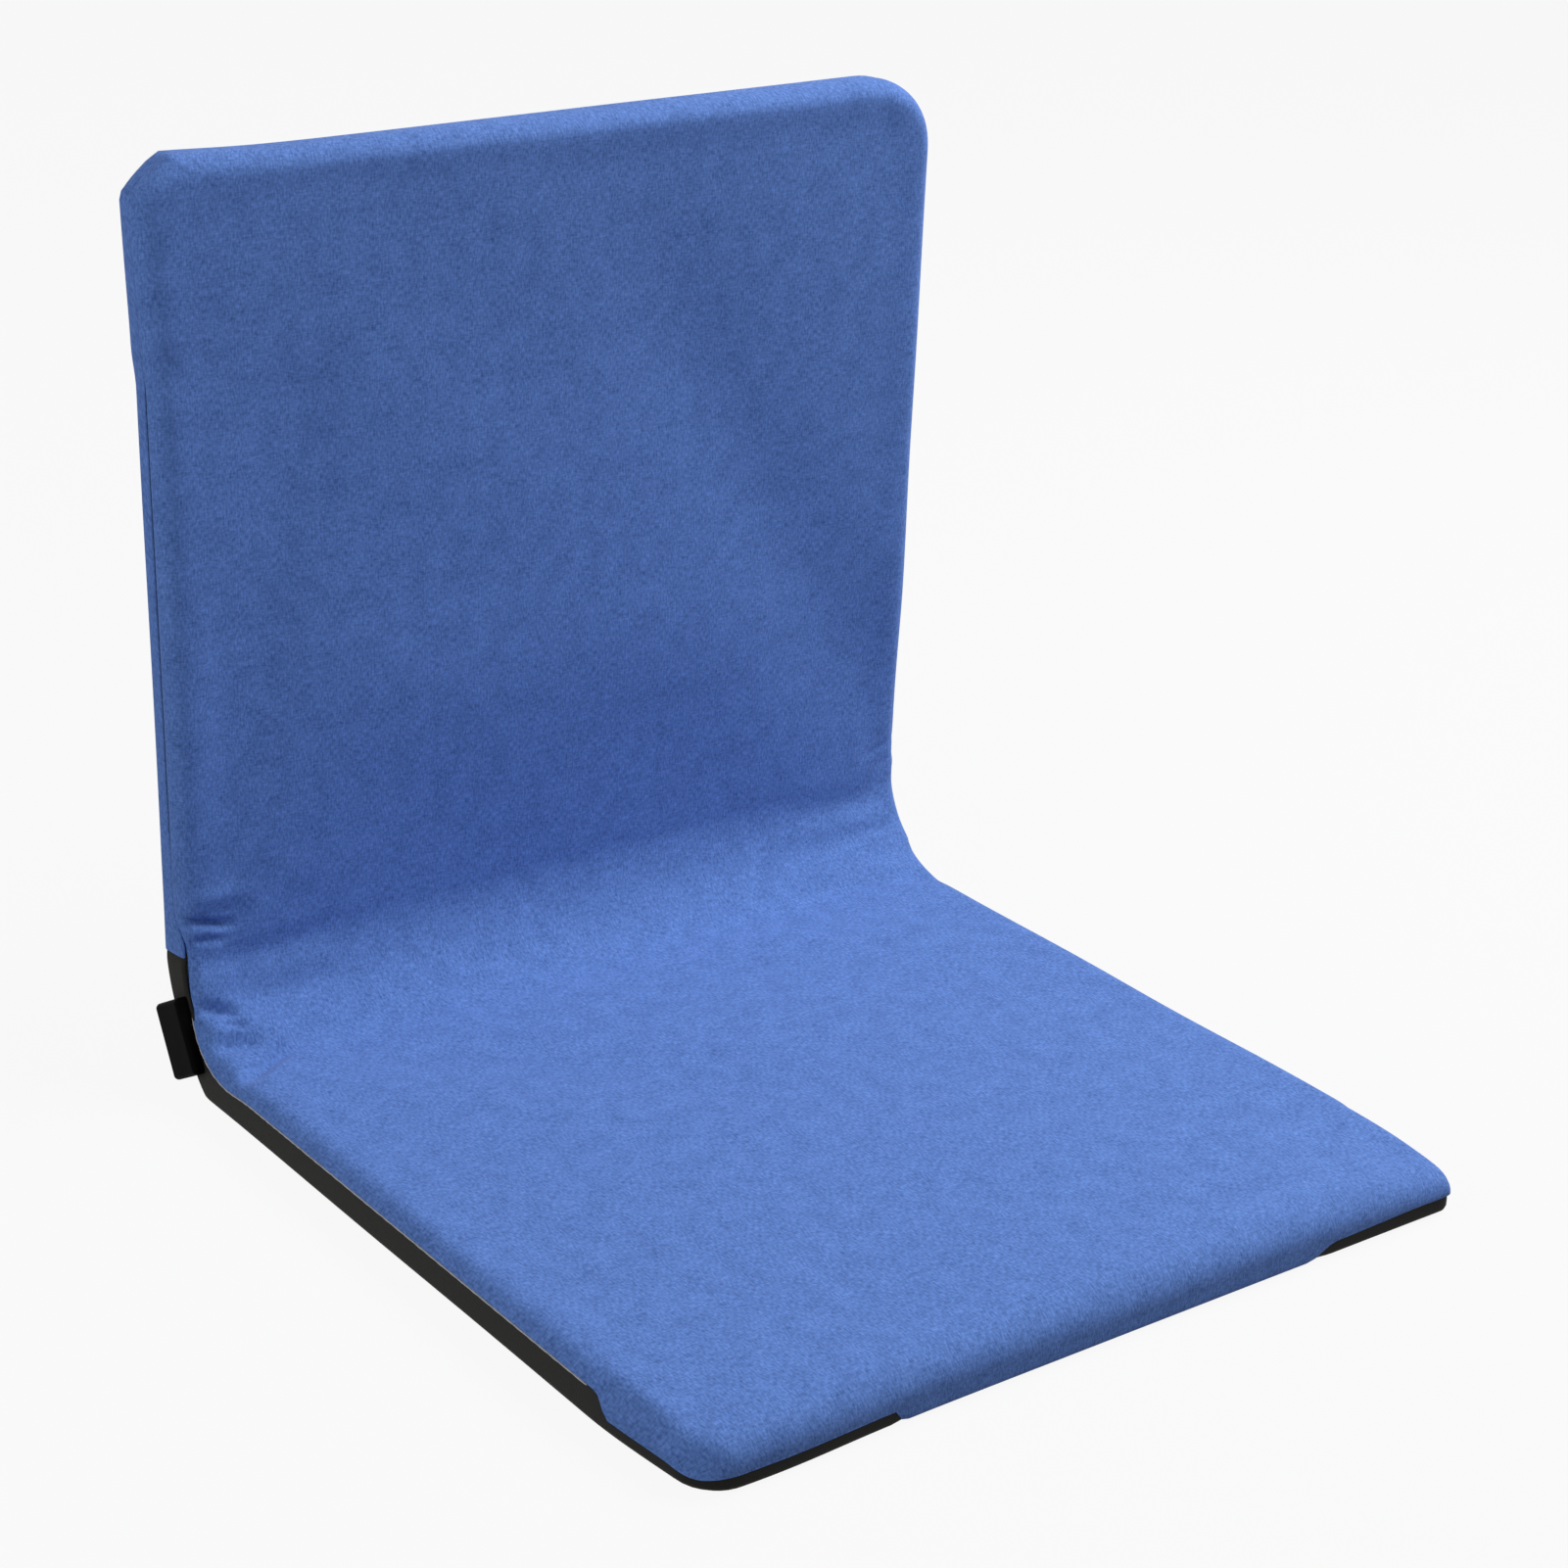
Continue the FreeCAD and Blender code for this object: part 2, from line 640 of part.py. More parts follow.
def ratchet_plate(side):
    """The seat's plate, with a notch round its ear for each step of the back from upright to flat."""
    label = f"ratchet_plate_{side}"
    half = "Sizes.plate_thickness / 2"
    plate_sizes = ("Sizes.plate_tang_width", "Sizes.pivot_diameter / 2")
    body = stamped(SEAT, label, side, f"-{half}", half, *plate_sizes)
    sketch = sketch_on(body, label + "_notch", "YZ_Plane", turn=f"{HALF_TURN + QUARTER_TURN} - {ARM_ANGLE}")
    draw_circle(sketch, "Sizes.ear_radius", "0", "Sizes.notch_radius")
    notch = cut_through(body, sketch)
    pattern = body.newObject("PartDesign::PolarPattern", label + "_notches")
    pattern.Originals = [notch]
    axis = [feature for feature in body.Origin.OriginFeatures if feature.Role == "X_Axis"][0]
    pattern.Axis = (axis, [""])
    pattern.Reversed = True
    bind(pattern, {"Angle": "Sizes.ratchet_span", "Occurrences": "Sizes.ratchet_steps + 1"})
    body.Tip = pattern
    document.recompute()
    return finish(body, label, SEAT)


def cheek(label, side, inner, outer):
    """One of the back's two plates beside a ratchet plate, with a hole for the pawl's rivet."""
    running = "Sizes.pivot_diameter / 2 + Sizes.pivot_clearance"
    body = stamped(BACK, label, side, inner, outer, "Sizes.cheek_tang_width", running)
    hole = sketch_on(body, label + "_pawl_hole", "YZ_Plane", turn=ARM_ANGLE)
    draw_circle(hole, "Sizes.pawl_length", "0", "Sizes.pawl_pin_diameter / 2")
    cut_through(body, hole)
    return finish(body, label, BACK)


def headed_rivet(name, radius, head_radius, head_height, half_grip, middle, along, depth):
    """A rivet across the chair with a flat head at each end."""
    head = f"({half_grip} + {head_height})"
    shank = rod(name + "_shank", radius, f"{middle} - {head}", f"{middle} + {head}", along, depth)
    heads = [
        rod(name + "_head_low", head_radius, f"{middle} - {head}", f"{middle} - {half_grip}", along, depth),
        rod(name + "_head_high", head_radius, f"{middle} + {half_grip}", f"{middle} + {head}", along, depth),
    ]
    return joined(name, [shank] + heads)


def hinge(side):
    sign = SIDES[side]
    middle = f"{sign} * {TUBE_X}"
    ratchet_plate(side)
    cheek(f"outer_cheek_{side}", side, CHEEK_INSIDE, CHEEK_OUTSIDE)
    cheek(f"inner_cheek_{side}", side, f"-{CHEEK_OUTSIDE}", f"-{CHEEK_INSIDE}")

    # The pivot rivet is pressed in the ratchet plate, and its outer end takes the stud of the cap
    name = f"pivot_rivet_{side}"
    whole = headed_rivet(
        name + "_whole",
        "Sizes.pivot_diameter / 2",
        "Sizes.pivot_head_diameter / 2",
        "Sizes.pivot_head_height",
        HEAD_SEAT,
        middle,
        "0",
        "0",
    )
    bore_ends = (f"{HEAD_TOP} - Sizes.pivot_bore_depth", f"{HEAD_TOP} + {OVERCUT}")
    bore = rod(name + "_bore", "Sizes.pivot_bore / 2", *across_ends(sign, middle, *bore_ends))
    finish(taken_away(name, whole, bore), name, SEAT)

    # Washers keep the cheeks off the ratchet plate
    name = f"hinge_washers_{side}"
    rings = []
    for place, direction in (("outer", 1), ("inner", -1)):
        faces = ("Sizes.plate_thickness / 2", f"{CHEEK_INSIDE} - Sizes.side_play")
        ends = across_ends(sign * direction, middle, *faces)
        disc = rod(f"{name}_{place}_disc", "Sizes.washer_diameter / 2", *ends)
        bore_radius = "Sizes.pivot_diameter / 2 + Sizes.pivot_clearance"
        hole = rod(f"{name}_{place}_hole", bore_radius, *ends)
        rings.append(taken_away(f"{name}_{place}", disc, hole))
    finish(group(name, rings), name, SEAT)
    pawl(side)
    cap(side)


def pawl(side):
    """A blade spring between the cheeks: its nose drops into a notch, its eye is riveted."""
    name = f"pawl_spring_{side}"
    sign = SIDES[side] * BACK.across
    middle = f"{sign} * {TUBE_X}"
    half = f"({CHEEK_INSIDE} - Sizes.pawl_play)"
    low = f"{middle} - {half}"
    body = new_body(name)
    blade = sketch_on(body, name + "_blade", "YZ_Plane", low, ARM_ANGLE)
    edge = "Sizes.pawl_strip / 2"
    draw_rectangle(blade, "Sizes.ear_radius", "Sizes.pawl_length", f"-{edge}", edge)
    pad(body, blade, f"2 * {half}")
    ends = (("nose", "Sizes.ear_radius", "Sizes.pawl_tip_radius"),)
    ends += (("eye", "Sizes.pawl_length", "Sizes.pawl_eye_radius"),)
    for end, distance, radius in ends:
        sketch = sketch_on(body, f"{name}_{end}", "YZ_Plane", low, ARM_ANGLE)
        draw_circle(sketch, distance, "0", radius)
        pad(body, sketch, f"2 * {half}")
    hole = sketch_on(body, name + "_hole", "YZ_Plane", low, ARM_ANGLE)
    draw_circle(hole, "Sizes.pawl_length", "0", "Sizes.pawl_pin_diameter / 2")
    cut_through(body, hole)
    finish(body, name, BACK)

    name = f"pawl_rivet_{side}"
    pin = headed_rivet(
        name,
        "Sizes.pawl_pin_diameter / 2",
        "Sizes.pawl_head_diameter / 2",
        "Sizes.pawl_head_height",
        CHEEK_OUTSIDE,
        middle,
        f"Sizes.pawl_length * cos({ARM_ANGLE})",
        f"Sizes.pawl_length * sin({ARM_ANGLE})",
    )
    finish(pin, name, BACK)


def cap_block(name, side, inset, inner, outer):
    """The cap's block, smaller by an inset all round, between two distances from the hinge."""
    sign = SIDES[side]
    low = across_ends(sign, f"{sign} * {TUBE_X}", inner, outer)[0]
    body = new_body(name)
    sketch = sketch_on(body, name + "_side", "YZ_Plane", low, f"{HALF_TURN} - Sizes.cap_tilt")
    half = f"Sizes.cap_length / 2 - {inset}"
    draw_rectangle(
        sketch,
        f"-(Sizes.cap_front - {inset})",
        f"Sizes.cap_rear - {inset}",
        f"-({half})",
        half,
    )
    return body, pad(body, sketch, f"{outer} - ({inner})")


CAP_FOOT = f"({HEAD_TOP} + Sizes.cap_gap)"
CAP_TOP = f"({TUBE_INSET} + Sizes.cap_reach)"


def cap(side):
    """A moulded cap over the end of the hinge, held by a stud in the pivot rivet."""
    name = f"hinge_cap_{side}"
    sign = SIDES[side]
    middle = f"{sign} * {TUBE_X}"
    block, plain = cap_block(name + "_block", side, "0", CAP_FOOT, CAP_TOP)
    foot = value(f"{middle} + {sign} * {CAP_FOOT}")

    def off_the_foot(edge):
        return abs(edge.CenterOfMass.x - foot) > SAME

    round_edges(block, plain, off_the_foot, "Sizes.cap_edge_radius")
    hollow, _ = cap_block(
        name + "_hollow",
        side,
        "Sizes.cap_wall",
        f"({CAP_FOOT} - {OVERCUT})",
        f"({CAP_TOP} - Sizes.cap_wall)",
    )
    shell = taken_away(name + "_shell", block, hollow)
    stud_ends = across_ends(
        sign,
        middle,
        f"{HEAD_TOP} - Sizes.pivot_bore_depth + Sizes.cap_gap",
        f"{CAP_TOP} - Sizes.cap_wall / 2",
    )
    stud = rod(name + "_stud", "Sizes.pivot_bore / 2 - Sizes.cap_stud_clearance", *stud_ends)
    finish(joined(name, [shell, stud]), name, SEAT)


for side in SIDES:
    hinge(side)


def tang_rivets(panel):
    """The four rivets that hold two hinges in a tube frame."""
    name = panel.name + "_frame_rivets"
    rivets = []
    for side, sign in SIDES.items():
        for place, distance in (("near", "Sizes.first_rivet"), ("far", "Sizes.second_rivet")):
            rivets.append(
                headed_rivet(
                    f"{name}_{side}_{place}",
                    "Sizes.rivet_diameter / 2",
                    "Sizes.rivet_head_diameter / 2",
                    "Sizes.rivet_head_height",
                    TUBE_RADIUS,
                    f"{sign} * {TUBE_X}",
                    distance,
                    TUBE_DEPTH,
                )
            )
    return finish(group(name, rivets), name, panel)


for panel in (SEAT, BACK):
    tang_rivets(panel)


# Cloth round the corner: the sections of the seat's two cloths, carried round the bend to the back

def carried_round(label, cloth):
    """A cloth's section at the hinge turned about the centre of the bend, cut away for the caps."""
    start = value(ROOT)
    section = [face for face in cloth.Shape.Faces if abs(face.CenterOfMass.y - start) < SAME][0]
    centre = FreeCAD.Vector(0, start, value(f"{FACE} - Sizes.bend_radius"))
    turn = value(f"{QUARTER_TURN} - atan2(Sizes.seam_gap; Sizes.bend_radius) / 1 deg")
    shape = section.revolve(centre, FreeCAD.Vector(1, 0, 0), turn)
    for side in SIDES:
        room, _ = cap_block(
            f"{label}_slot_{side}",
            side,
            "-Sizes.cap_slot_clearance",
            f"({CAP_FOOT} - Sizes.cap_slot_clearance)",
            f"({CAP_TOP} + {OVERCUT})",
        )
        shape = shape.cut(room.Shape)
    piece = document.addObject("Part::Feature", label)
    piece.Shape = shape
    return finish(piece, label, SEAT)


carried_round("cover_bend", seat_skirted)
carried_round("corner_gusset", seat_tray)

# Checks and files

document.recompute()
for thing in document.Objects:
    if "Invalid" in thing.State or "Error" in thing.State:
        raise ValueError(f"{thing.Name} failed: {thing.State}")
for node in nodes:
    if node.Shape.isNull() or not node.Shape.isValid():
        raise ValueError(f"{node.Label} has no valid shape")

os.makedirs("parts", exist_ok=True)
for node in nodes:
    node.Shape.exportStep(f"parts/{node.Label}.step")
    box_of_node = node.Shape.BoundBox
    print(
        f"{node.Label:24s} solids {len(node.Shape.Solids)} volume {node.Shape.Volume:10.1f}"
        f"  x {box_of_node.XMin:7.1f} {box_of_node.XMax:7.1f}"
        f"  y {box_of_node.YMin:7.1f} {box_of_node.YMax:7.1f}"
        f"  z {box_of_node.ZMin:7.1f} {box_of_node.ZMax:7.1f}"
    )
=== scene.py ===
import math

import bpy
import numpy as np
from mathutils import Matrix, Vector


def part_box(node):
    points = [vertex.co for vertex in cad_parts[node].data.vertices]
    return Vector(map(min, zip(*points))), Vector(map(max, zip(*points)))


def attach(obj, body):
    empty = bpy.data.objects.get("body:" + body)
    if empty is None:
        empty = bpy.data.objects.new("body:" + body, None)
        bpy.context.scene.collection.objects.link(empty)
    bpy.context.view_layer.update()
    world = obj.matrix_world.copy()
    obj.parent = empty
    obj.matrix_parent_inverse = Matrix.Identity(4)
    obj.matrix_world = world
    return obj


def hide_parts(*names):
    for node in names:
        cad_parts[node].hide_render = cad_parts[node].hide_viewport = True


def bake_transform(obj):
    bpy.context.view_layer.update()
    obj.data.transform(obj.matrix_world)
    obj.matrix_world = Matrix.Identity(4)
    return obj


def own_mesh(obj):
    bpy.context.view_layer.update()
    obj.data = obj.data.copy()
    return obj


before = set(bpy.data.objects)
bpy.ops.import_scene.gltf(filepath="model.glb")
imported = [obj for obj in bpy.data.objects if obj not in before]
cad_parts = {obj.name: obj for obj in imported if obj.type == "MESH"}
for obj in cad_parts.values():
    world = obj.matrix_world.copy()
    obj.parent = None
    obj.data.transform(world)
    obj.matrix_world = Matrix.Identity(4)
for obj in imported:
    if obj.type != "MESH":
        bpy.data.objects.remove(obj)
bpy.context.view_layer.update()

# Tube frames: two steel tubes bent to a U, one in the seat and one in the back, each with a cross
# bar welded between its legs. They are powder coated black, so they have a faint orange peel.


class Signal:
    """A shader value that takes part in Python sums: each operator adds a Math node to its tree."""

    def __init__(self, tree, socket=None):
        self.tree = tree
        self.socket = socket

    def add(self, kind, settings=None, sockets=None, output=0):
        """Adds any node: its settings first, then the values or links of its sockets."""
        node = self.tree.nodes.new(kind)
        for name, setting in (settings or {}).items():
            setattr(node, name, setting)
        for name, given in (sockets or {}).items():
            if isinstance(given, Signal):
                self.tree.links.new(given.socket, node.inputs[name])
            else:
                node.inputs[name].default_value = given
        return Signal(self.tree, node.outputs[output])

    def maths(self, operation, first, second=0.0):
        return self.add("ShaderNodeMath", {"operation": operation}, {0: first, 1: second})

    def __add__(self, other):
        return self.maths("ADD", self, other)

    def __mul__(self, other):
        return self.maths("MULTIPLY", self, other)

    def clamped(self, low, high):
        """This value carried from the range low to high onto 0 to 1, and held there."""
        return self.add("ShaderNodeMapRange", None, {"Value": self, "From Min": low, "From Max": high})

    def mixed(self, first, second):
        """The colour between two colours, with this value as the share of the second."""
        return self.add(
            "ShaderNodeMix", {"data_type": "RGBA"}, {"Factor": self, 6: first, 7: second}, output=2
        )

    def noise(self, place, size, detail=2.0):
        """Noise whose lumps measure about one size in x, y and z."""
        stretch = tuple(1 / length for length in size)
        scaled = self.add("ShaderNodeVectorMath", {"operation": "MULTIPLY"}, {0: place, 1: stretch})
        return self.add("ShaderNodeTexNoise", None, {"Vector": scaled, "Scale": 1.0, "Detail": detail})

    def bump(self, height, distance, strength):
        return self.add(
            "ShaderNodeBump", None, {"Height": height, "Distance": distance, "Strength": strength}
        )


def finish_material(name, rough=0.5, metallic=0.0):
    """A new material, its node tree as a signal and its shader."""
    material = bpy.data.materials.new(name)
    material.use_nodes = True
    shader = material.node_tree.nodes["Principled BSDF"]
    shader.inputs["Roughness"].default_value = rough
    shader.inputs["Metallic"].default_value = metallic
    return material, Signal(material.node_tree), shader


def feed(shader, **signals):
    """Links signals to the shader's sockets, which are named with _ for a space."""
    for name, signal in signals.items():
        signal.tree.links.new(signal.socket, shader.inputs[name.replace("_", " ")])


def object_place(signal):
    """Places on the piece, in metres."""
    return signal.add("ShaderNodeTexCoord", output=3)


def dress(material, *names):
    """Gives CAD nodes a better material."""
    for name in names:
        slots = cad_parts[name].data.materials
        slots.clear()
        slots.append(material)


mm = 0.001


def powder_coat():
    material, signal, shader = finish_material("black_powder_coat", rough=0.42)
    place = object_place(signal)
    peel = signal.noise(place, (1.2 * mm,) * 3, detail=1.0)
    wear = signal.noise(place, (25 * mm,) * 3, detail=4.0)
    feed(shader, Base_Color=wear.mixed((0.012, 0.012, 0.013, 1), (0.03, 0.03, 0.031, 1)))
    feed(shader, Roughness=wear * 0.2 + 0.34, Normal=signal.bump(peel, 0.05 * mm, 0.5))
    return material


dress(powder_coat(), "seat_frame", "seat_cross_bar", "back_frame", "back_cross_bar")

# Ratchet hinges: stamped plates, blade springs and rivets of zinc plated steel, one set at each end
# of the hinge line, with natural nylon washers between the plates.


def zinc_plate():
    material, signal, shader = finish_material("zinc_plated_steel", metallic=1.0)
    place = object_place(signal)
    grain = signal.noise(place, (0.4 * mm, 6 * mm, 6 * mm), detail=3.0)
    bloom = signal.noise(place, (4 * mm,) * 3, detail=4.0)
    feed(shader, Base_Color=bloom.mixed((0.46, 0.46, 0.45, 1), (0.64, 0.64, 0.66, 1)))
    feed(shader, Roughness=bloom * 0.25 + 0.25, Normal=signal.bump(grain, 0.03 * mm, 0.4))
    return material


def natural_nylon():
    material, signal, shader = finish_material("natural_nylon", rough=0.45)
    place = object_place(signal)
    cloud = signal.noise(place, (3 * mm,) * 3)
    feed(shader, Base_Color=cloud.mixed((0.62, 0.60, 0.54, 1), (0.72, 0.71, 0.66, 1)))
    feed(shader, Normal=signal.bump(cloud, 0.03 * mm, 0.3))
    return material


ends = ("left", "right")
hinge_steel = ("ratchet_plate", "outer_cheek", "inner_cheek", "pivot_rivet", "pawl_spring", "pawl_rivet")
plated = [f"{piece}_{end}" for piece in hinge_steel for end in ends]
dress(zinc_plate(), *plated, "seat_frame_rivets", "back_frame_rivets")
dress(natural_nylon(), *[f"hinge_washers_{end}" for end in ends])

# Pawl springs: blades of spring steel, riveted to the cheeks at the top, whose tips give way upward to
# let the teeth of the ratchet plates go past when the back is folded or laid flat.

for end in ends:
    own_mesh(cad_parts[f"pawl_spring_{end}"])

# Foam: in each panel a thin sheet over the tube, which gives the cover its soft face, and a thicker
# slab that fills the space inside the tube. Both are white closed cell foam, cut from sheet.

seat_low, seat_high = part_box("seat_cover")
back_low, back_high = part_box("back_cover")
rear_low, rear_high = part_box("back_rear_cover")
front_edge = seat_low.y
bend_start = seat_high.y
bend_radius = back_low.y - bend_start
bend_height = seat_high.z + bend_radius
seat_run = bend_start - front_edge
bend_run = bend_radius * math.pi / 2
back_start = seat_run + bend_run
back_run = back_high.z - bend_height
whole_run = back_start + back_run
panel_depth = rear_high.y - back_low.y
seat_half = seat_high.x
flare = back_high.x - seat_half


def side_view(along, depth):
    """The chair's side view. Along runs on the seating faces, from the front edge back over the seat,
    round a quarter circle and up the back; depth is square to the face, away from the sitter."""
    turn = np.clip((along - seat_run) / bend_radius, 0, math.pi / 2)
    over_seat = np.minimum(along, seat_run)
    up_back = np.maximum(along - back_start, 0)
    reach = bend_radius + depth
    return front_edge + over_seat + reach * np.sin(turn), bend_height - reach * np.cos(turn) + up_back


def smooth(value, low, high):
    """An S curve from 0 at low to 1 at high."""
    share = np.clip((value - low) / (high - low), 0, 1)
    return share * share * (3 - 2 * share)


def half_width(along, side):
    """Half the width at a place along the chair: the back widens evenly, leans a little to the right and
    stands out on the left where the closed pocket at its top begins. The cloth is baggy beside the right
    hinge, and drawn in towards the left front corner."""
    wide = seat_half + flare * np.clip((along - back_start) / back_run, 0, 1)
    lean = smooth(along, seat_run, back_start + 60 * mm) * back_lean
    pocket = smooth(along, slit_top - 10 * mm, slit_top + 10 * mm) * pocket_step
    pocket = pocket + smooth(along, slit_top, whole_run) * pocket_flare
    drawn_in = (1 - smooth(along, -20 * mm, 75 * mm)) * left_draw
    baggy = np.exp(-(((along - bend_middle) / (38 * mm)) ** 2)) * hinge_bag
    return wide + np.where(side < 0, pocket - lean - drawn_in, lean + baggy + right_ease)


bend_middle = seat_run + bend_run / 2
slit_top = back_start + 282 * mm
back_lean = 1.5 * mm
pocket_step = 1.5 * mm
pocket_flare = 2.6 * mm
left_draw = 6.5 * mm
hinge_bag = 1.6 * mm
right_ease = 1.4 * mm
least_corner = 4 * mm
# Corners of the panels: radius and how round they are, 2 for a circle and 1 for a straight chamfer
corners = {
    ("front", -1): (18 * mm, 2.0),
    ("front", 1): (5 * mm, 2.0),
    ("top", -1): (19 * mm, 1.0),
    ("top", 1): (39 * mm, 2.0),
}


def plan(sides, shares, start, stop, inset, front_inset, top_inset):
    """A grid over a panel's outline: a rectangle between two places along the chair whose front and top
    corners, where it reaches them, are drawn in to rounds or chamfers along rays from their centres. Its
    columns lie at the given shares of the half width, and its rows at the given shares of the length.
    The front edge bows out a little on the left, and the top left corner stands up."""
    side, share = np.meshgrid(sides, shares)
    along = start + front_inset + share * (stop - top_inset - start - front_inset)
    half = half_width(along, side) - inset
    across = np.abs(side) * half
    for (end, hand), (radius, roundness) in corners.items():
        limit = front_inset if end == "front" else whole_run - top_inset
        depth = max(radius - (front_inset if end == "front" else top_inset), least_corner)
        width = max(radius - inset, least_corner)
        inward = 1 if end == "front" else -1
        first = np.clip((across - (half - width)) / width, 0, None)
        second = np.clip((limit + inward * depth - along) * inward / depth, 0, None)
        inside = (first > 0) & (second > 0) & (side * hand > 0)
        norm = (first ** roundness + second ** roundness) ** (1 / roundness)
        scale = np.where(inside, np.maximum(first, second) / np.where(inside, norm, 1), 1)
        across = np.where(inside, half - width + first * width * scale, across)
        along = np.where(inside, limit + inward * (depth - second * depth * scale), along)
    across = across * np.sign(side)
    bow = front_bow * np.exp(-(((across + 170 * mm) / (45 * mm)) ** 2))
    bowed = bow * (1 - smooth(along, 0, 70 * mm))
    ear = corner_ear * np.exp(-(((across + seat_half) / (42 * mm)) ** 2))
    risen = ear * smooth(along, whole_run - 60 * mm, whole_run - 5 * mm)
    return across, along - bowed + risen


front_bow = 2.6 * mm
corner_ear = 2.4 * mm


def mesh_piece(name, across, along, depth, faces, marks=None):
    """A mesh from places on the chair, with a UV map in metres of cloth for its weave."""
    y, z = side_view(along, depth)
    mesh = bpy.data.meshes.new(name)
    mesh.from_pydata(np.column_stack([across, y, z]), [], faces)
    mesh.polygons.foreach_set("use_smooth", np.ones(len(mesh.polygons), bool))
    if marks is not None:
        corner_vertices = np.zeros(len(mesh.loops), np.int32)
        mesh.loops.foreach_get("vertex_index", corner_vertices)
        corner_marks = marks[corner_vertices].astype(np.float32)
        mesh.uv_layers.new(name="cloth").data.foreach_set("uv", corner_marks.ravel())
    piece = bpy.data.objects.new(name, mesh)
    bpy.context.scene.collection.objects.link(piece)
    return piece


def grid_faces(columns, rows, first=0):
    """Quads of a grid of columns and rows, facing the side from which it runs left to right and up."""
    number = first + np.arange((columns + 1) * (rows + 1)).reshape(rows + 1, columns + 1)
    quads = [number[:-1, :-1], number[:-1, 1:], number[1:, 1:], number[1:, :-1]]
    return np.stack(quads, -1).reshape(-1, 4)


def rim_order(columns, rows, parts):
    """Numbers of a grid's rim points, anticlockwise, along the named sides."""
    number = np.arange((columns + 1) * (rows + 1)).reshape(rows + 1, columns + 1)
    sides = {
        "front": number[0],
        "right": number[:, -1],
        "top": number[-1, ::-1],
        "left": number[::-1, 0],
    }
    order = np.concatenate([sides[part] for part in parts])
    return order[np.concatenate([[True], order[1:] != order[:-1]])]


def strip_faces(lines):
    """Quads between neighbouring lines of points, each line an array of point numbers."""
    inner, outer = lines[:-1], lines[1:]
    quads = [inner[:, :-1], outer[:, :-1], outer[:, 1:], inner[:, 1:]]
    return np.stack(quads, -1).reshape(-1, 4)


def trough(across, along, start, end, width):
    """A straight hollow between two places, across and along, that fades at both ends."""
    direction = np.subtract(end, start)
    length = np.hypot(*direction)
    from_start = (across - start[0], along - start[1])
    on = (from_start[0] * direction[0] + from_start[1] * direction[1]) / length ** 2
    off = (from_start[0] * direction[1] - from_start[1] * direction[0]) / length
    return np.exp(-((off / width) ** 2)) * smooth(on, -0.25, 0.25) * (1 - smooth(on, 0.75, 1.25))


def mound(across, along, place, spread):
    """A round rise of height 1, given its place and its spread across and along."""
    return np.exp(-(((across - place[0]) / spread[0]) ** 2) - (((along - place[1]) / spread[1]) ** 2))


# Folds where the cloth bunches beside each hinge, in millimetres: from and to, each as the distance in
# from the side and the distance along from the foot of the back, then how wide and how deep
hinge_folds = [
    ((1, 15), (23, 9), 2.0, 4.6),
    ((5, 4), (20, 2), 1.8, 1.8),
    ((2, -27), (18, -35), 3.2, 4.0),
    ((10, -39), (21, -43), 1.8, 2.6),
    ((1, -48), (23, -54), 5.0, 3.8),
    ((3, -77), (38, -59), 5.0, 3.8),
]
# Ridges between the folds: the place, the spread in and along, and the height
hinge_ridges = [((16, 25), (16, 5), 1.6), ((12, -17), (12, 7), 1.2), ((14, -41), (14, 3), 0.9)]
# Rises and hollows of the two faces, in millimetres: the height, the place across the chair and along
# from the foot of the back, and the spread across and along
broad_rises = [
    (2.8, (0, 105), (150, 44)),
    (-0.4, (0, 10), (170, 26)),
    (-1.8, (20, 260), (120, 60)),
]
# Pulls in the cloth, in the same measure: the depth, from, to and the width
cloth_pulls = [
    (2.8, (-140, 290), (-192, 45), 22),
    (4.2, (40, 300), (205, 40), 36),
]
tube_line = 10 * mm
top_round = 38 * mm


def hinge_bunch(across, along):
    """The folds beside both hinges: deep on the left, where the cloth is loose, and faint on the right."""
    rise = 0 * across
    for hand, strength, shift in ((-1, 1.0, 0.0), (1, 0.15, 4 * mm)):
        inward = half_width(along, hand) - hand * across
        up = along - back_start - shift
        for (from_side, from_foot), (to_side, to_foot), width, deep in hinge_folds:
            way = ((from_side * mm, from_foot * mm), (to_side * mm, to_foot * mm))
            rise = rise - strength * deep * mm * trough(inward, up, *way, width * mm)
        for (from_side, from_foot), (wide, long), high in hinge_ridges:
            place = (from_side * mm, from_foot * mm)
            rise = rise + strength * high * mm * mound(inward, up, place, (wide * mm, long * mm))
    return rise


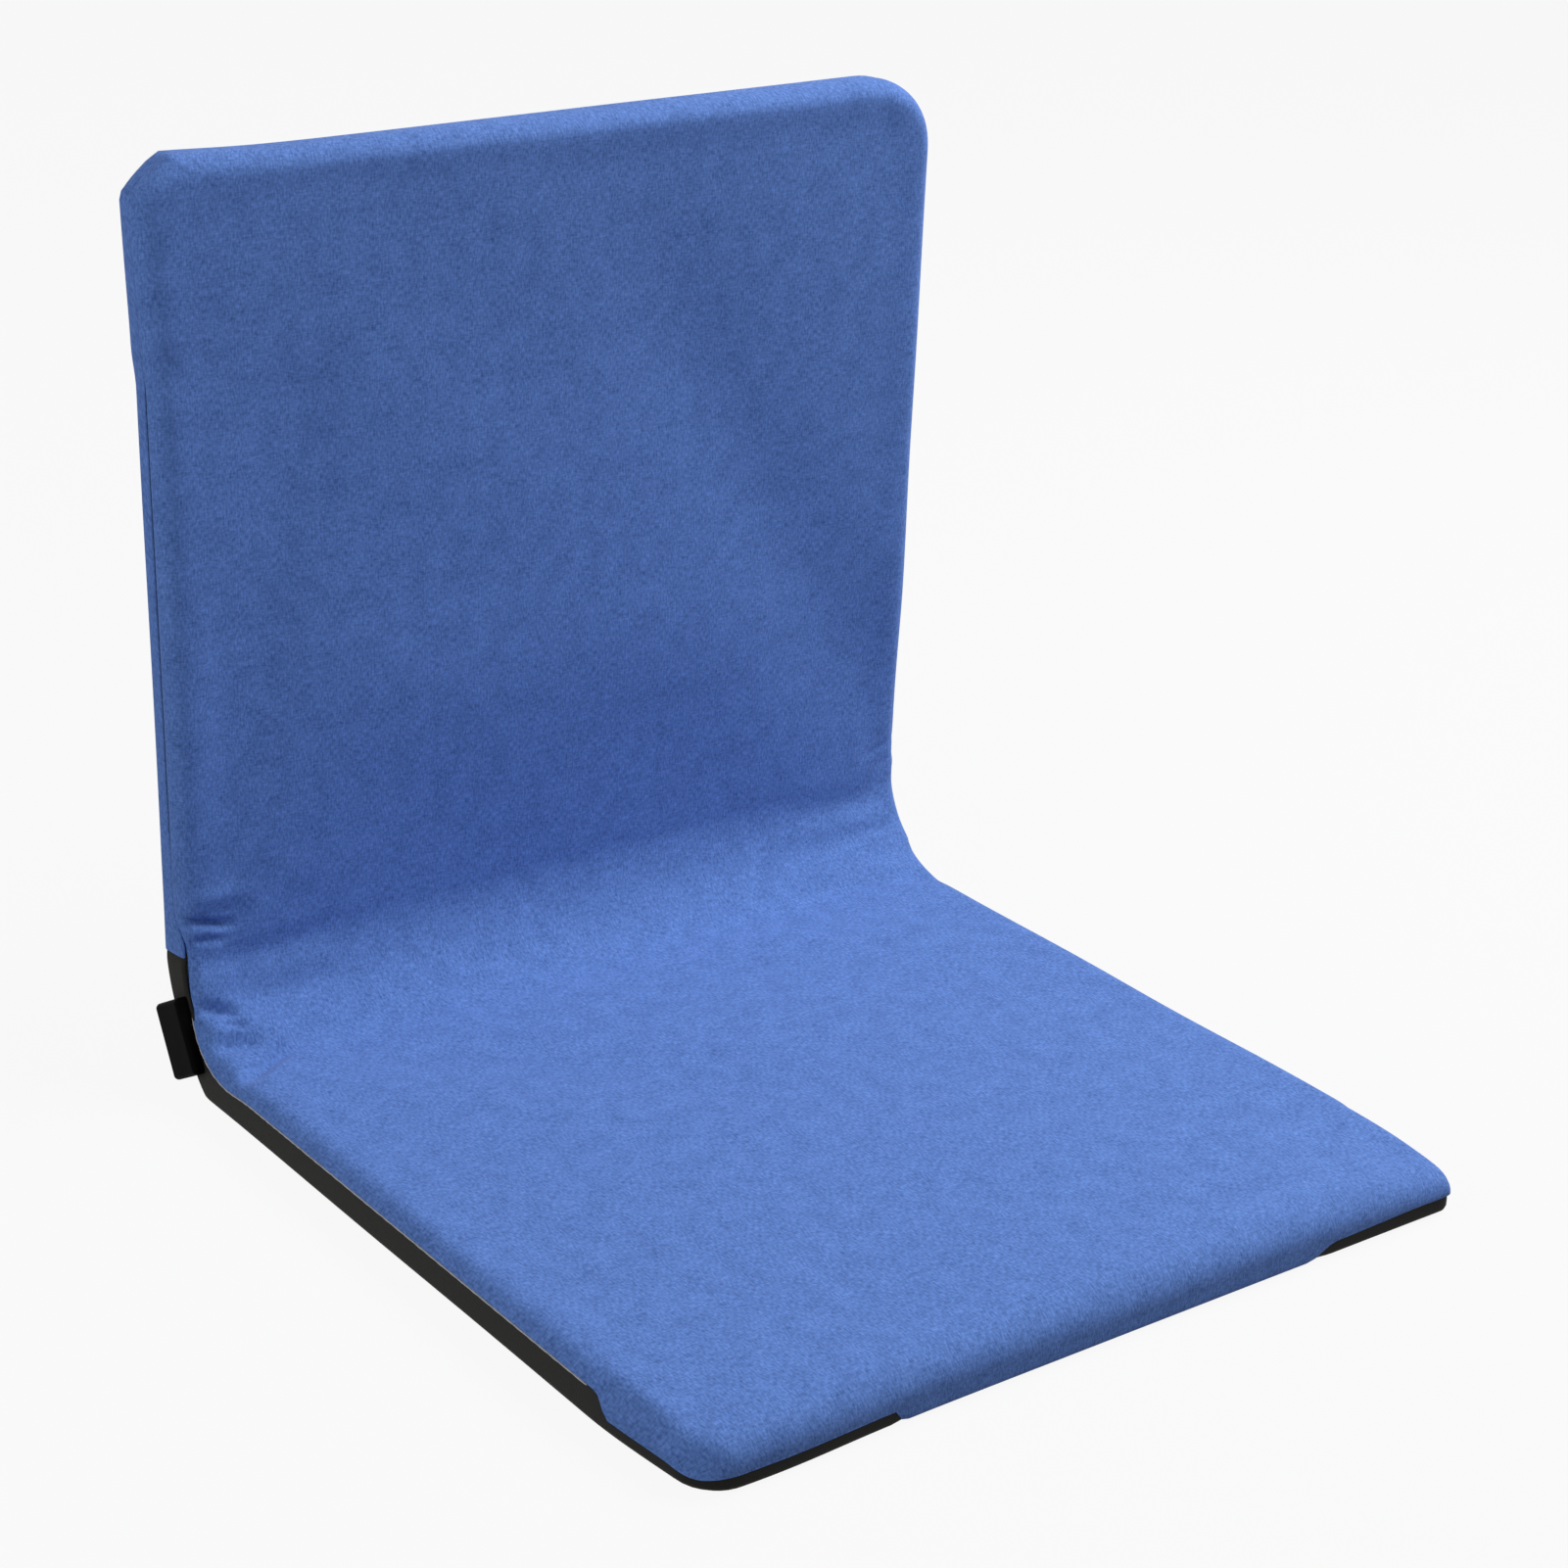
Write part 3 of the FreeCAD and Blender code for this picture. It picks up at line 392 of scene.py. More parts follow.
def panel_relief(across, along):
    """How far the seating face stands up from flat: the sum of broad rises and pulls, of a faint sway in
    sines, of a ridge over the tube and of the folds beside the hinges."""
    up = (along - back_start) / mm
    rise = 0 * across
    for high, place, spread in broad_rises:
        rise = rise + high * mm * mound(across / mm, up, place, spread)
    for deep, start, end, width in cloth_pulls:
        rise = rise - deep * mm * trough(across / mm, up, start, end, width)
    seat_pull = ((-150 * mm, seat_run - 5 * mm), (-10 * mm, seat_run - 150 * mm))
    rise -= 2.0 * mm * trough(across, along, *seat_pull, 24 * mm)
    rise += 1.8 * mm * mound(across, along, (60 * mm, 120 * mm), (150 * mm, 90 * mm))
    slit_end = (-seat_half - 4 * mm, slit_top + 4 * mm)
    rise -= 2.2 * mm * mound(across, along, slit_end, (13 * mm, 9 * mm))
    pinch = ((6 * mm - seat_half, 6 * mm), (24 * mm - seat_half, 30 * mm))
    rise -= 1.6 * mm * trough(across, along, *pinch, 6 * mm)
    sway = np.sin(across / (31 * mm) + 0.7) * np.sin(along / (37 * mm))
    sway = sway + np.sin((across + along) / (23 * mm))
    from_side = half_width(along, np.sign(across)) - np.abs(across)
    from_top = whole_run - along
    past_side = np.clip(top_round - from_side, 0, None)
    past_top = np.clip(top_round - from_top, 0, None)
    from_rim = top_round - np.hypot(past_side, past_top)
    tube = np.exp(-(((from_rim - tube_line) / (9 * mm)) ** 2))
    over_frame = smooth(np.abs(along - bend_middle), 30 * mm, 80 * mm)
    return rise + 0.25 * mm * sway + 0.9 * mm * tube * over_frame + hinge_bunch(across, along)


def white_foam():
    material, signal, shader = finish_material("white_foam", rough=0.8)
    place = object_place(signal)
    cells = signal.add("ShaderNodeTexVoronoi", {"feature": "F1"}, {"Vector": place, "Scale": 700.0})
    dirt = signal.noise(place, (40 * mm,) * 3, detail=3.0)
    feed(shader, Base_Color=dirt.mixed((0.70, 0.70, 0.67, 1), (0.80, 0.80, 0.78, 1)))
    feed(shader, Normal=signal.bump(cells, 0.4 * mm, 0.6))
    return material


def foam_slab(name, body, start, stop, inset, front_inset, top_inset, high, low, follow):
    """A closed slab: the same grid above and below, joined round the rim by a half circle. Its upper
    face follows the relief of the cover by a share."""
    columns, rows, steps = 64, 60, 8
    grid = (np.linspace(-1, 1, columns + 1), np.linspace(0, 1, rows + 1), start, stop)
    across, along = plan(*grid, inset, front_inset, top_inset)
    across = across.ravel()
    along = along.ravel()
    middle = (high + low) / 2
    thick = (low - high) / 2
    rim = rim_order(columns, rows, ("front", "right", "top", "left"))
    turn = np.linspace(0, math.pi, steps + 1)[1:-1, None]
    centre_across = across.mean()
    centre_along = (along.min() + along.max()) / 2
    at_side = np.abs(across[rim]) > 0.9 * np.abs(across[rim]).max()
    at_end = np.abs(along[rim] - centre_along) > 0.49 * np.ptp(along)
    out_across = np.sign(across[rim] - centre_across) * at_side
    out_along = np.sign(along[rim] - centre_along) * at_end
    bulge = thick * np.sin(turn)
    upper = high - follow * panel_relief(across, along)
    lower = np.full(len(across), low)
    places = [
        np.concatenate([across, (across[rim] + bulge * out_across).ravel(), across]),
        np.concatenate([along, (along[rim] + bulge * out_along).ravel(), along]),
        np.concatenate([upper, (middle - thick * np.cos(turn) + 0 * rim).ravel(), lower]),
    ]
    count = len(across)
    between = count + np.arange((steps - 1) * len(rim)).reshape(steps - 1, len(rim))
    last = count + between.size
    lines = np.vstack([rim, between, rim + last])
    underside = grid_faces(columns, rows, last)[:, ::-1]
    faces = np.vstack([grid_faces(columns, rows), strip_faces(lines), underside])
    piece = mesh_piece(name, *places, faces.tolist())
    piece.data.materials.append(foam)
    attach(piece, body)
    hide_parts(name.replace("pad", "foam"))


foam = white_foam()
tube_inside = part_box("seat_core_foam")[1].x
top_foam_floor = seat_high.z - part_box("seat_top_foam")[0].z
core_roof = seat_high.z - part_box("seat_core_foam")[1].z
core_floor = seat_high.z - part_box("seat_core_foam")[0].z
front_gap = 38 * mm
rim_gap = 9 * mm
cloth_room = 4.5 * mm
slack = 0.3 * mm
core_gap = seat_half - tube_inside + rim_gap
core_layer = (core_roof + slack, core_floor - slack, 0.0)
top_layer = (cloth_room, top_foam_floor, 0.9)
seat_end = seat_run - 4 * mm
back_foot = back_start + 20 * mm
hinge_room = 37 * mm
foam_slab("seat_top_pad", "seat", 0, seat_end, rim_gap, front_gap, 0, *top_layer)
foam_slab("seat_core_pad", "seat", 0, seat_run - hinge_room, core_gap, core_gap, 0, *core_layer)
foam_slab("back_top_pad", "back", back_foot, whole_run, rim_gap, 0, rim_gap, *top_layer)
foam_slab("back_core_pad", "back", back_start + hinge_room, whole_run, core_gap, 0, core_gap, *core_layer)

# Blue cover: one length of heathered polyester from under the front edge, over the seat, round the
# inner corner and up over the top of the back. It is pulled tight over the foam, rolls over the tubes
# at the rim, hangs lower round the front corners and ends in a tongue under the front edge.

hem_fold = 1.2 * mm
least_way = 0.04 * mm


def shell(
    name, grid, parts, inset, drop, edge, face, toward, relief, spread, under=None, waist=None, extra=0
):
    """Cloth over one face of a panel, with its rim carried over a rounded edge and down the side.
    The face is a grid; each rim point moves out by a quarter ellipse and then down to its edge depth,
    or further round the lower edge and in under it, and the hem turns in by the cloth's thickness.
    The relief, and an extra rise of the grid, push the cloth out and die away to the hem.
    A waist draws the hem in. The places of the hem are given back with the piece."""
    columns, rows = len(grid[0]) - 1, len(grid[1]) - 1
    outline = [-beyond if inward else 0 for beyond, inward in zip(spread, inset)]
    across, along = (each.ravel() for each in plan(*grid, *inset))
    outer = [each.ravel() for each in plan(*grid, *outline)]
    rim = rim_order(columns, rows, parts)
    closed = rim[0] == rim[-1]
    if closed:
        rim = rim[:-1]
    rim_across = outer[0][rim] - across[rim]
    rim_along = outer[1][rim] - along[rim]
    full_reach = np.hypot(rim_across, rim_along)
    reach = full_reach - (waist(outer[0][rim], outer[1][rim]) if waist else 0)
    rim_way = np.maximum(np.abs(rim_across) + np.abs(rim_along), least_way)
    end_share = np.abs(rim_along) / rim_way
    at_front = along[rim] < whole_run / 2
    side_drop, front_drop, top_drop = drop
    edge_depth = edge(outer[0][rim], outer[1][rim])
    fall = side_drop * (1 - end_share) + np.where(at_front, front_drop, top_drop) * end_share
    level = face(across[rim], along[rim])
    fall = np.minimum(fall, np.abs(edge_depth - level) - 0.4 * mm)
    straight = np.abs(edge_depth - level) - fall

    lines = []
    for turn in np.linspace(0, math.pi / 2, 11)[1:]:
        sine, cosine = math.sin(turn), math.cos(turn)
        lines.append((reach * sine, fall * (1 - cosine), cosine, sine))
    tongue = tongue_width(outer[0][rim]) * at_front if under else 0
    for share in (0.25, 0.5, 0.75, 1.0):
        drawn_in = 0.5 * mm * share ** 2 * (1 - tongue)
        lines.append((reach - drawn_in, fall + straight * share, 0, 1 - share))
    hem = len(lines)
    if under:
        lines += under(*lines[-1][:2], tongue)
    last_out, last_fall = lines[-1][:2]
    lines.append((last_out - hem_fold, last_fall - 0.1 * mm, 0, 0))
    lines.append((last_out - hem_fold, last_fall - 3.0 * mm, 0, 0))

    way_across = rim_across / full_reach
    way_along = rim_along / full_reach
    risen = np.broadcast_to(np.ravel(extra), across.shape)
    xs = [across]
    ss = [along]
    ds = [face(across, along) - toward * (relief(across, along) + risen)]
    us = [across]
    vs = [along]
    run = last_out = last_fall = np.zeros(len(rim))
    for out, down, up, sideways in lines:
        run = run + np.hypot(out - last_out, down - last_fall)
        last_out, last_fall = out, down
        places = (across[rim] + way_across * out, along[rim] + way_along * out)
        raised = relief(*places) + risen[rim]
        xs.append(places[0] + way_across * raised * sideways * 0.35)
        ss.append(places[1] + way_along * raised * sideways * 0.35)
        ds.append(level + toward * (down - raised * up))
        us.append(across[rim] + way_across * run)
        vs.append(along[rim] + way_along * run)
    numbers = len(across) + np.arange(len(lines) * len(rim)).reshape(len(lines), len(rim))
    rings = np.vstack([rim, numbers])
    if closed:
        rings = np.column_stack([rings, rings[:, :1]])
    faces = np.vstack([grid_faces(columns, rows), strip_faces(rings)])
    if toward < 0:
        faces = faces[:, ::-1]
    marks = np.column_stack([np.concatenate(us), np.concatenate(vs)])
    places = [np.concatenate(each) for each in (xs, ss, ds)]
    return mesh_piece(name, *places, faces.tolist(), marks), (xs[hem], ss[hem], ds[hem])


def stepped(along, stops):
    """A size that goes from stop to stop along the chair in S curves; each stop is a place and a size."""
    places, sizes = zip(*stops)
    result = np.full(np.shape(along), sizes[0])
    for place, following, size, next_size in zip(places, places[1:], sizes, sizes[1:]):
        result = result + (next_size - size) * smooth(along, place, following)
    return result


tongue_left = -106 * mm
tongue_right = 128 * mm
tongue_tuck = 24 * mm
tongue_lift = 1.3 * mm
under_radius = 4 * mm


def tongue_width(across):
    """1 over the width of the tongue under the front edge, and 0 beyond its two ends."""
    left_end = smooth(across, tongue_left - 5 * mm, tongue_left)
    return left_end * (1 - smooth(across, tongue_right - 4 * mm, tongue_right + 12 * mm))


skirt = 8 * mm
hood = 18 * mm
top_seam = 13 * mm
side_seam = 11 * mm


def cover_edge(across, along):
    """How far down the blue cloth comes: low round the front, lowest at its left corner, short along the
    seat, baggy at the hinge, and to the side seam on the back."""
    stops = [
        (59 * mm, hood),
        (67 * mm, skirt),
        (seat_run - 20 * mm, skirt),
        (seat_run + 0.42 * bend_radius, 10.5 * mm),
        (seat_run + 1.15 * bend_radius, 7 * mm),
        (back_start, 4.5 * mm),
        (back_start + 3 * mm, 4.5 * mm),
        (back_start + 15 * mm, side_seam),
        (whole_run - 30 * mm, side_seam),
        (whole_run - 8 * mm, top_seam),
    ]
    right_bag = 4.5 * mm * np.exp(-(((along - back_start + 15 * mm) / (26 * mm)) ** 2)) * (across > 0)
    at_corner = np.exp(-(np.hypot(seat_half + across, along) / (13 * mm)) ** 2)
    lifted = smooth(across, tongue_right, seat_half) * (1 - smooth(along, 59 * mm, 67 * mm))
    return stepped(along, stops) + right_bag + 3.5 * mm * at_corner - 1.5 * mm * lifted


def tongue_lines(hem, low_hem, wide):
    """The tongue goes on down from the hood, round the lower edge and back under the seat. It fades to
    nothing at its two ends, so the lines lie on the hem elsewhere."""
    down = panel_depth - tongue_lift + 0.8 * mm - under_radius - low_hem
    lines = []
    for share in (0.5, 1.0):
        lines.append((hem, low_hem + down * share * wide, 0, 0))
    for turn in np.linspace(0, math.pi / 2, 6)[1:]:
        inward = under_radius * (1 - math.cos(turn)) * wide
        lines.append((hem - inward, low_hem + (down + under_radius * math.sin(turn)) * wide, 0, 0))
    for share in (0.5, 1.0):
        inward = (under_radius + (tongue_tuck - under_radius) * share) * wide
        lines.append((hem - inward, low_hem + (down + under_radius) * wide, 0, 0))
    return lines


def cover_depth(across, along):
    """The seating face droops at the two front corners, more on the right."""
    right_corner = 5.5 * mm * mound(across, along, (seat_half, 0), (40 * mm, 32 * mm))
    return right_corner + 2 * mm * mound(across, along, (-seat_half, 0), (30 * mm, 30 * mm))


def hinge_waist(across, along):
    """Beside the left hinge the hem is drawn in, so that more of the black cloth shows."""
    return 4 * mm * np.exp(-(((along - back_start + 14 * mm) / (21 * mm)) ** 2)) * (across < 0)


def weigh(group, weights):
    """Fills a vertex group with weights, rounded to twentieths."""
    steps = np.rint(np.ravel(weights) * 20)
    for step in range(1, 21):
        group.add(np.flatnonzero(steps == step).tolist(), step / 20, "REPLACE")


def slack_cloth(columns, rows, inset):
    """The rise that a cloth simulation gives the cover. A coarse sheet of the same outline is held along
    the tubes, is cut too large beside the hinges, and is pushed out by the foam until it wrinkles."""
    sides = np.linspace(-1, 1, columns + 1)
    shares = np.linspace(0, 1, rows + 1)
    across, along = plan(sides, shares, 0, whole_run, *inset)
    depth = cover_depth(across, along) - panel_relief(across, along)
    places = (across.ravel(), along.ravel(), depth.ravel())
    sheet = mesh_piece("slack_sheet", *places, grid_faces(columns, rows))
    from_bend = np.abs(along - bend_middle)
    from_side = half_width(along, np.sign(across)) - np.abs(across)
    side, share = np.meshgrid(np.abs(sides), shares)
    on_rim = (share == 0) | (share == 1) | (side == 1)
    free = np.exp(-((from_bend / (60 * mm)) ** 2)) * np.exp(-((from_side / (70 * mm)) ** 2))
    loose = free * np.exp(-((from_side / (26 * mm)) ** 2))
    held = sheet.vertex_groups.new(name="held")
    large = sheet.vertex_groups.new(name="cut_large")
    weigh(held, np.where(on_rim, 1 - 0.8 * free, 0.25 * (1 - free)))
    weigh(large, loose)
    cloth = sheet.modifiers.new("cloth", "CLOTH").settings
    cloth.quality = 6
    cloth.mass = 0.25
    cloth.tension_stiffness = cloth.compression_stiffness = 25
    cloth.shear_stiffness = 10
    cloth.bending_stiffness = 0.3
    cloth.vertex_group_mass = "held"
    cloth.vertex_group_shrink = "cut_large"
    cloth.shrink_max = -0.035
    cloth.use_pressure = True
    cloth.uniform_pressure_force = 4
    cloth.effector_weights.gravity = 0
    for step in range(1, 21):
        bpy.context.scene.frame_set(step)
    settled = sheet.evaluated_get(bpy.context.evaluated_depsgraph_get()).to_mesh()
    places = np.zeros(len(settled.vertices) * 3)
    settled.vertices.foreach_get("co", places)
    rest = np.zeros(len(places))
    sheet.data.vertices.foreach_get("co", rest)
    out = np.zeros(len(places))
    sheet.data.vertices.foreach_get("normal", out)
    bpy.context.scene.frame_set(1)
    bpy.data.objects.remove(sheet)
    moved = ((places - rest) * out).reshape(-1, 3).sum(1)
    return np.clip(moved, -1.2 * mm, 2.5 * mm).reshape(rows + 1, columns + 1)


def spline_shares(places, count):
    """How much each of a row of points counts at each place, by a cubic spline that reaches 2 points."""
    off = np.abs(places[:, None] - np.arange(count))
    shares = np.where(off < 1, 2 / 3 - off ** 2 + off ** 3 / 2, np.clip(2 - off, 0, None) ** 3 / 6)
    return shares / shares.sum(1, keepdims=True)


def refined(coarse, sides, shares):
    """An even coarse grid of values, read by splines for another grid over the same outline."""
    rows, columns = coarse.shape
    over_rows = spline_shares(shares * (rows - 1), rows)
    return over_rows @ coarse @ spline_shares((sides + 1) / 2 * (columns - 1), columns).T


def crossings(signal, place, pitch):
    """The height of a plain weave: the sine of the place across times the sine of the place along."""
    across = signal.add("ShaderNodeSeparateXYZ", None, {0: place})
    along = Signal(across.tree, across.socket.node.outputs[1])
    turns = 2 * math.pi / pitch
    return signal.maths("SINE", across * turns) * signal.maths("SINE", along * turns)


def heathered_cloth(name, dark, light):
    """Plain weave of mottled yarn: slubs that run along the warp and along the weft shift the colour
    between two tones, and the crossing threads raise the surface."""
    material, signal, shader = finish_material(name, rough=0.85)
    place = signal.add("ShaderNodeUVMap", {"uv_map": "cloth"})
    warp = signal.noise(place, (0.9 * mm, 2.8 * mm, 1), detail=2.0)
    weft = signal.noise(place, (2.8 * mm, 0.9 * mm, 1), detail=2.0)
    cloud = signal.noise(place, (11 * mm, 14 * mm, 1), detail=3.0)
    tone = warp * 0.5 + weft * 0.32 + cloud * 0.18
    feed(shader, Base_Color=tone.clamped(0.33, 0.67).mixed(dark, light), Roughness=tone * 0.2 + 0.75)
    weave = crossings(signal, place, 0.9 * mm)
    feed(shader, Normal=signal.bump(weave * 0.35 + tone * 1.4, 0.12 * mm, 0.45))
    shader.inputs["Sheen Weight"].default_value = 0.06
    shader.inputs["Sheen Roughness"].default_value = 0.5
    shader.inputs["Specular IOR Level"].default_value = 0.2
    return material


blue_cloth = heathered_cloth("blue_heathered_cloth", (0.036, 0.092, 0.285, 1), (0.138, 0.268, 0.690, 1))


def graded(first, *stretches):
    """Grid places from the first on, stretch by stretch: each has its end and its number of steps."""
    places = [np.array([first])]
    for end, steps in stretches:
        places.append(np.linspace(places[-1][-1], end, steps + 1)[1:])
    return np.concatenate(places)


cover_sides = graded(-1, (-0.86, 32), (0.86, 90), (1, 26))
folds_from = (seat_run - 62 * mm) / whole_run
folds_to = (back_start + 42 * mm) / whole_run
cover_shares = graded(0, (folds_from, 90), (folds_to, 130), (1, 100))
cover_inset = (8 * mm, 18 * mm, 12 * mm)
wrinkles = 0
wrinkles = refined(slack_cloth(80, 155, cover_inset), cover_sides, cover_shares)
cover, cover_hem = shell(
    "blue_cover",
    (cover_sides, cover_shares, 0, whole_run),
    ("front", "right", "top", "left"),
    inset=cover_inset,
    drop=(8 * mm, 15.5 * mm, 12 * mm),
    edge=cover_edge,
    face=cover_depth,
    toward=1,
    relief=panel_relief,
    spread=(0.8 * mm, 0.6 * mm, -2.4 * mm),
    under=tongue_lines,
    waist=hinge_waist,
    extra=wrinkles,
)
cover.data.materials.append(blue_cloth)
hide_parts("seat_cover", "cover_bend", "back_cover")
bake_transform(cover)

# Hem thread: the blue cloth's edge is oversewn along both sides of the seat and round the hinges, and
# shows there as a fine pale line of spun polyester between the blue and the black.


def spun_thread():
    material, signal, shader = finish_material("pale_spun_thread", rough=0.8)
    twist = signal.noise(object_place(signal), (0.5 * mm,) * 3)
    feed(shader, Base_Color=twist.mixed((0.30, 0.30, 0.32, 1), (0.52, 0.50, 0.48, 1)))
    feed(shader, Normal=signal.bump(twist, 0.1 * mm, 0.5))
    return material


def hem_thread(name, hem, side):
    """A fine cord along one side of a hem: six points round each of its places, and a slight twist."""
    kept = (hem[0] * side > 0) & (hem[1] > 70 * mm) & (hem[1] < back_start - 3 * mm)
    across, along, depth = (each[kept] for each in hem)
    radius = 0.4 * mm * (1 + 0.25 * np.sin(along / (0.9 * mm)))
    turn = np.arange(6)[:, None] * math.pi / 3
    numbers = np.arange(6 * len(across)).reshape(6, -1)
    faces = strip_faces(np.vstack([numbers, numbers[:1]]))
    xs = across + 0.45 * mm * side + radius * np.cos(turn)
    ds = depth + radius * np.sin(turn)
    piece = mesh_piece(name, xs.ravel(), (along + 0 * turn).ravel(), ds.ravel(), faces.tolist())
    piece.data.materials.append(thread)
    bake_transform(piece)


thread = spun_thread()
for end, side in (("left", -1), ("right", 1)):
    hem_thread(f"hem_thread_{end}", cover_hem, side)

# Rear cover: the same blue cloth over the rear of the back, sewn to the front cover over the top and
# closed to it along the sides, and sewn at its foot to the black cloth.

tube_gap = 0.5 * mm
tube_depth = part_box("back_frame")[1].y - back_low.y


def rear_depth(across, along):
    """The rear is pulled close to the tube at its top and at its foot."""
    close = panel_depth - tube_depth - tube_gap
    to_top = smooth(along, whole_run - 75 * mm, whole_run - 6 * mm)
    to_foot = 0.7 * (1 - smooth(along, back_start, back_start + 50 * mm))
    return panel_depth - close * to_top - close * to_foot


def rear_face(across, along):
    """The rear has a faint waviness."""
    return 0.25 * mm * (np.sin(across / (40 * mm) + 1) + np.sin(along / (33 * mm)))


def rear_edge(across, along):
    """The seam with the front cover's hem, left open as a narrow slit below the pocket at the top and
    lapped over the hem at its foot."""
    slit = 1.7 * mm * (1 - smooth(along, slit_top - 12 * mm, slit_top + 6 * mm))
    slit = slit * smooth(along, back_start + 20 * mm, back_start + 70 * mm)
    lapped = 1.8 * mm * (1 - smooth(along, back_start, back_start + 16 * mm))
    return cover_edge(across, along) + 0.2 * mm + slit - lapped


rear = shell(
    "blue_rear_cover",
    (np.linspace(-1, 1, 111), np.linspace(0, 1, 101), back_start - 4 * mm, whole_run),
    ("right", "top", "left"),
    inset=(7 * mm, 0, 9 * mm),
    drop=(7 * mm, 0, 9 * mm),
    edge=rear_edge,
    face=rear_depth,
    toward=-1,
    relief=rear_face,
    spread=(0.6 * mm, 0, -2.6 * mm),
)[0]
rear.data.materials.append(blue_cloth)
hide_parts("back_rear_cover")
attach(rear, "back")

# Black cloth: coated polyester under the seat, up its sides to the blue hem, and round the outer
# corner behind the hinges to the foot of the rear cover.


def base_depth(across, along):
    """The black cloth lies on the floor as far as a blunt outer corner, and goes from there to the foot of
    the rear cover a little inside the round of the bend."""
    turn = (along - seat_run) / bend_radius
    on_floor = bend_height * (1 / np.cos(np.clip(turn, 0, math.radians(40))) - 1)
    past = smooth(turn, math.radians(20), math.radians(52))
    foot = smooth(along, back_start - 14 * mm, back_start)
    inside = 1.8 * mm * (1 - foot) + (panel_depth - tube_depth - 0.2 * mm) * foot
    return panel_depth + np.minimum(on_floor, 7 * mm) * (1 - past) - inside * past


def base_face(across, along):
    """The underside lies flat, with a faint waviness that stays clear of the floor, and is lifted over
    the tongue of the blue cloth."""
    wave = 0.15 * mm * (np.sin(across / (40 * mm) + 1) + np.sin(along / (33 * mm)) - 2)
    return wave - tongue_lift * tongue_width(across) * (1 - smooth(along, 16 * mm, 38 * mm))


def base_edge(across, along):
    """The black cloth goes up a little way behind the blue hem."""
    hem = cover_edge(across, along)
    return hem - np.minimum(2.5 * mm, 0.25 * hem)


def base_waist(across, along):
    """The black cloth tapers where it goes in behind the side seams of the back."""
    return 3 * mm * smooth(along, back_start - 9 * mm, back_start + 5 * mm)


def coated_cloth():
    material, signal, shader = finish_material("black_coated_cloth", rough=0.6)
    place = signal.add("ShaderNodeUVMap", {"uv_map": "cloth"})
    warp = signal.noise(place, (0.8 * mm, 5 * mm, 1))
    weft = signal.noise(place, (5 * mm, 0.8 * mm, 1))
    tone = (warp + weft) * 0.5
    dark, light = (0.006, 0.006, 0.006, 1), (0.017, 0.016, 0.014, 1)
    feed(shader, Base_Color=tone.clamped(0.3, 0.7).mixed(dark, light), Roughness=tone * 0.3 + 0.5)
    weave = crossings(signal, place, 1.0 * mm)
    feed(shader, Normal=signal.bump(weave * 0.5 + tone, 0.15 * mm, 0.5))
    shader.inputs["Specular IOR Level"].default_value = 0.1
    return material


black_cloth = coated_cloth()
base_end = back_start + 18 * mm
base = shell(
    "black_base",
    (np.linspace(-1, 1, 111), graded(0, (seat_run / base_end, 80), (1, 66)), 0, base_end),
    ("left", "front", "right"),
    inset=(3.5 * mm, 3.5 * mm, 0),
    drop=(3.5 * mm, 3.5 * mm, 0),
    edge=base_edge,
    face=base_depth,
    toward=-1,
    relief=base_face,
    spread=(-0.3 * mm, -0.3 * mm, 0),
    waist=base_waist,
)[0]
base.data.materials.append(black_cloth)
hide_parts("seat_base", "corner_gusset")
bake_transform(base)

# Hinge caps: moulded black plastic blocks over the ends of the hinge line, with a fine spark grain
# from the mould and slightly polished edges.


def grained_plastic():
    material, signal, shader = finish_material("black_grained_plastic")
    place = object_place(signal)
    grain = signal.noise(place, (0.5 * mm,) * 3, detail=2.0)
    handled = signal.noise(place, (14 * mm,) * 3, detail=3.0)
    feed(shader, Base_Color=handled.mixed((0.001, 0.001, 0.001, 1), (0.003, 0.003, 0.003, 1)))
    shader.inputs["Specular IOR Level"].default_value = 0.012
    feed(shader, Roughness=handled * 0.2 + 0.45, Normal=signal.bump(grain, 0.06 * mm, 0.5))
    return material


dress(grained_plastic(), "hinge_cap_left", "hinge_cap_right")

# Studio: a pale floor that shows white to the camera and keeps a faint shadow, an overhead softbox on
# the right, a weaker one low on the left, and an even pale sky.


def seen(signal):
    """1 for what the camera sees, also by reflection, and 0 for the light on the chair."""
    camera_ray = signal.add("ShaderNodeLightPath")
    glossy_ray = Signal(camera_ray.tree, camera_ray.socket.node.outputs["Is Glossy Ray"])
    return signal.maths("MAXIMUM", camera_ray, glossy_ray)


def studio_floor():
    size = 6.0
    square = [(-size, -size, 0), (size, -size, 0), (size, size, 0), (-size, size, 0)]
    mesh = bpy.data.meshes.new("studio_floor")
    mesh.from_pydata(square, [], [(0, 1, 2, 3)])
    floor = bpy.data.objects.new("studio_floor", mesh)
    floor.location.z = -0.4 * mm
    bpy.context.scene.collection.objects.link(floor)
    material, signal, shader = finish_material("pale_floor", rough=0.9)
    shader.inputs["Base Color"].default_value = (0.35, 0.35, 0.35, 1)
    shader.inputs["Specular IOR Level"].default_value = 0.1
    white = signal.add("ShaderNodeEmission", None, {"Color": (1, 1, 1, 1), "Strength": 1.0})
    lit = Signal(signal.tree, shader.outputs[0])
    mixed = signal.add("ShaderNodeMixShader", None, {0: seen(signal) * 0.92, 1: lit, 2: white})
    signal.tree.links.new(mixed.socket, signal.tree.nodes["Material Output"].inputs["Surface"])
    mesh.materials.append(material)


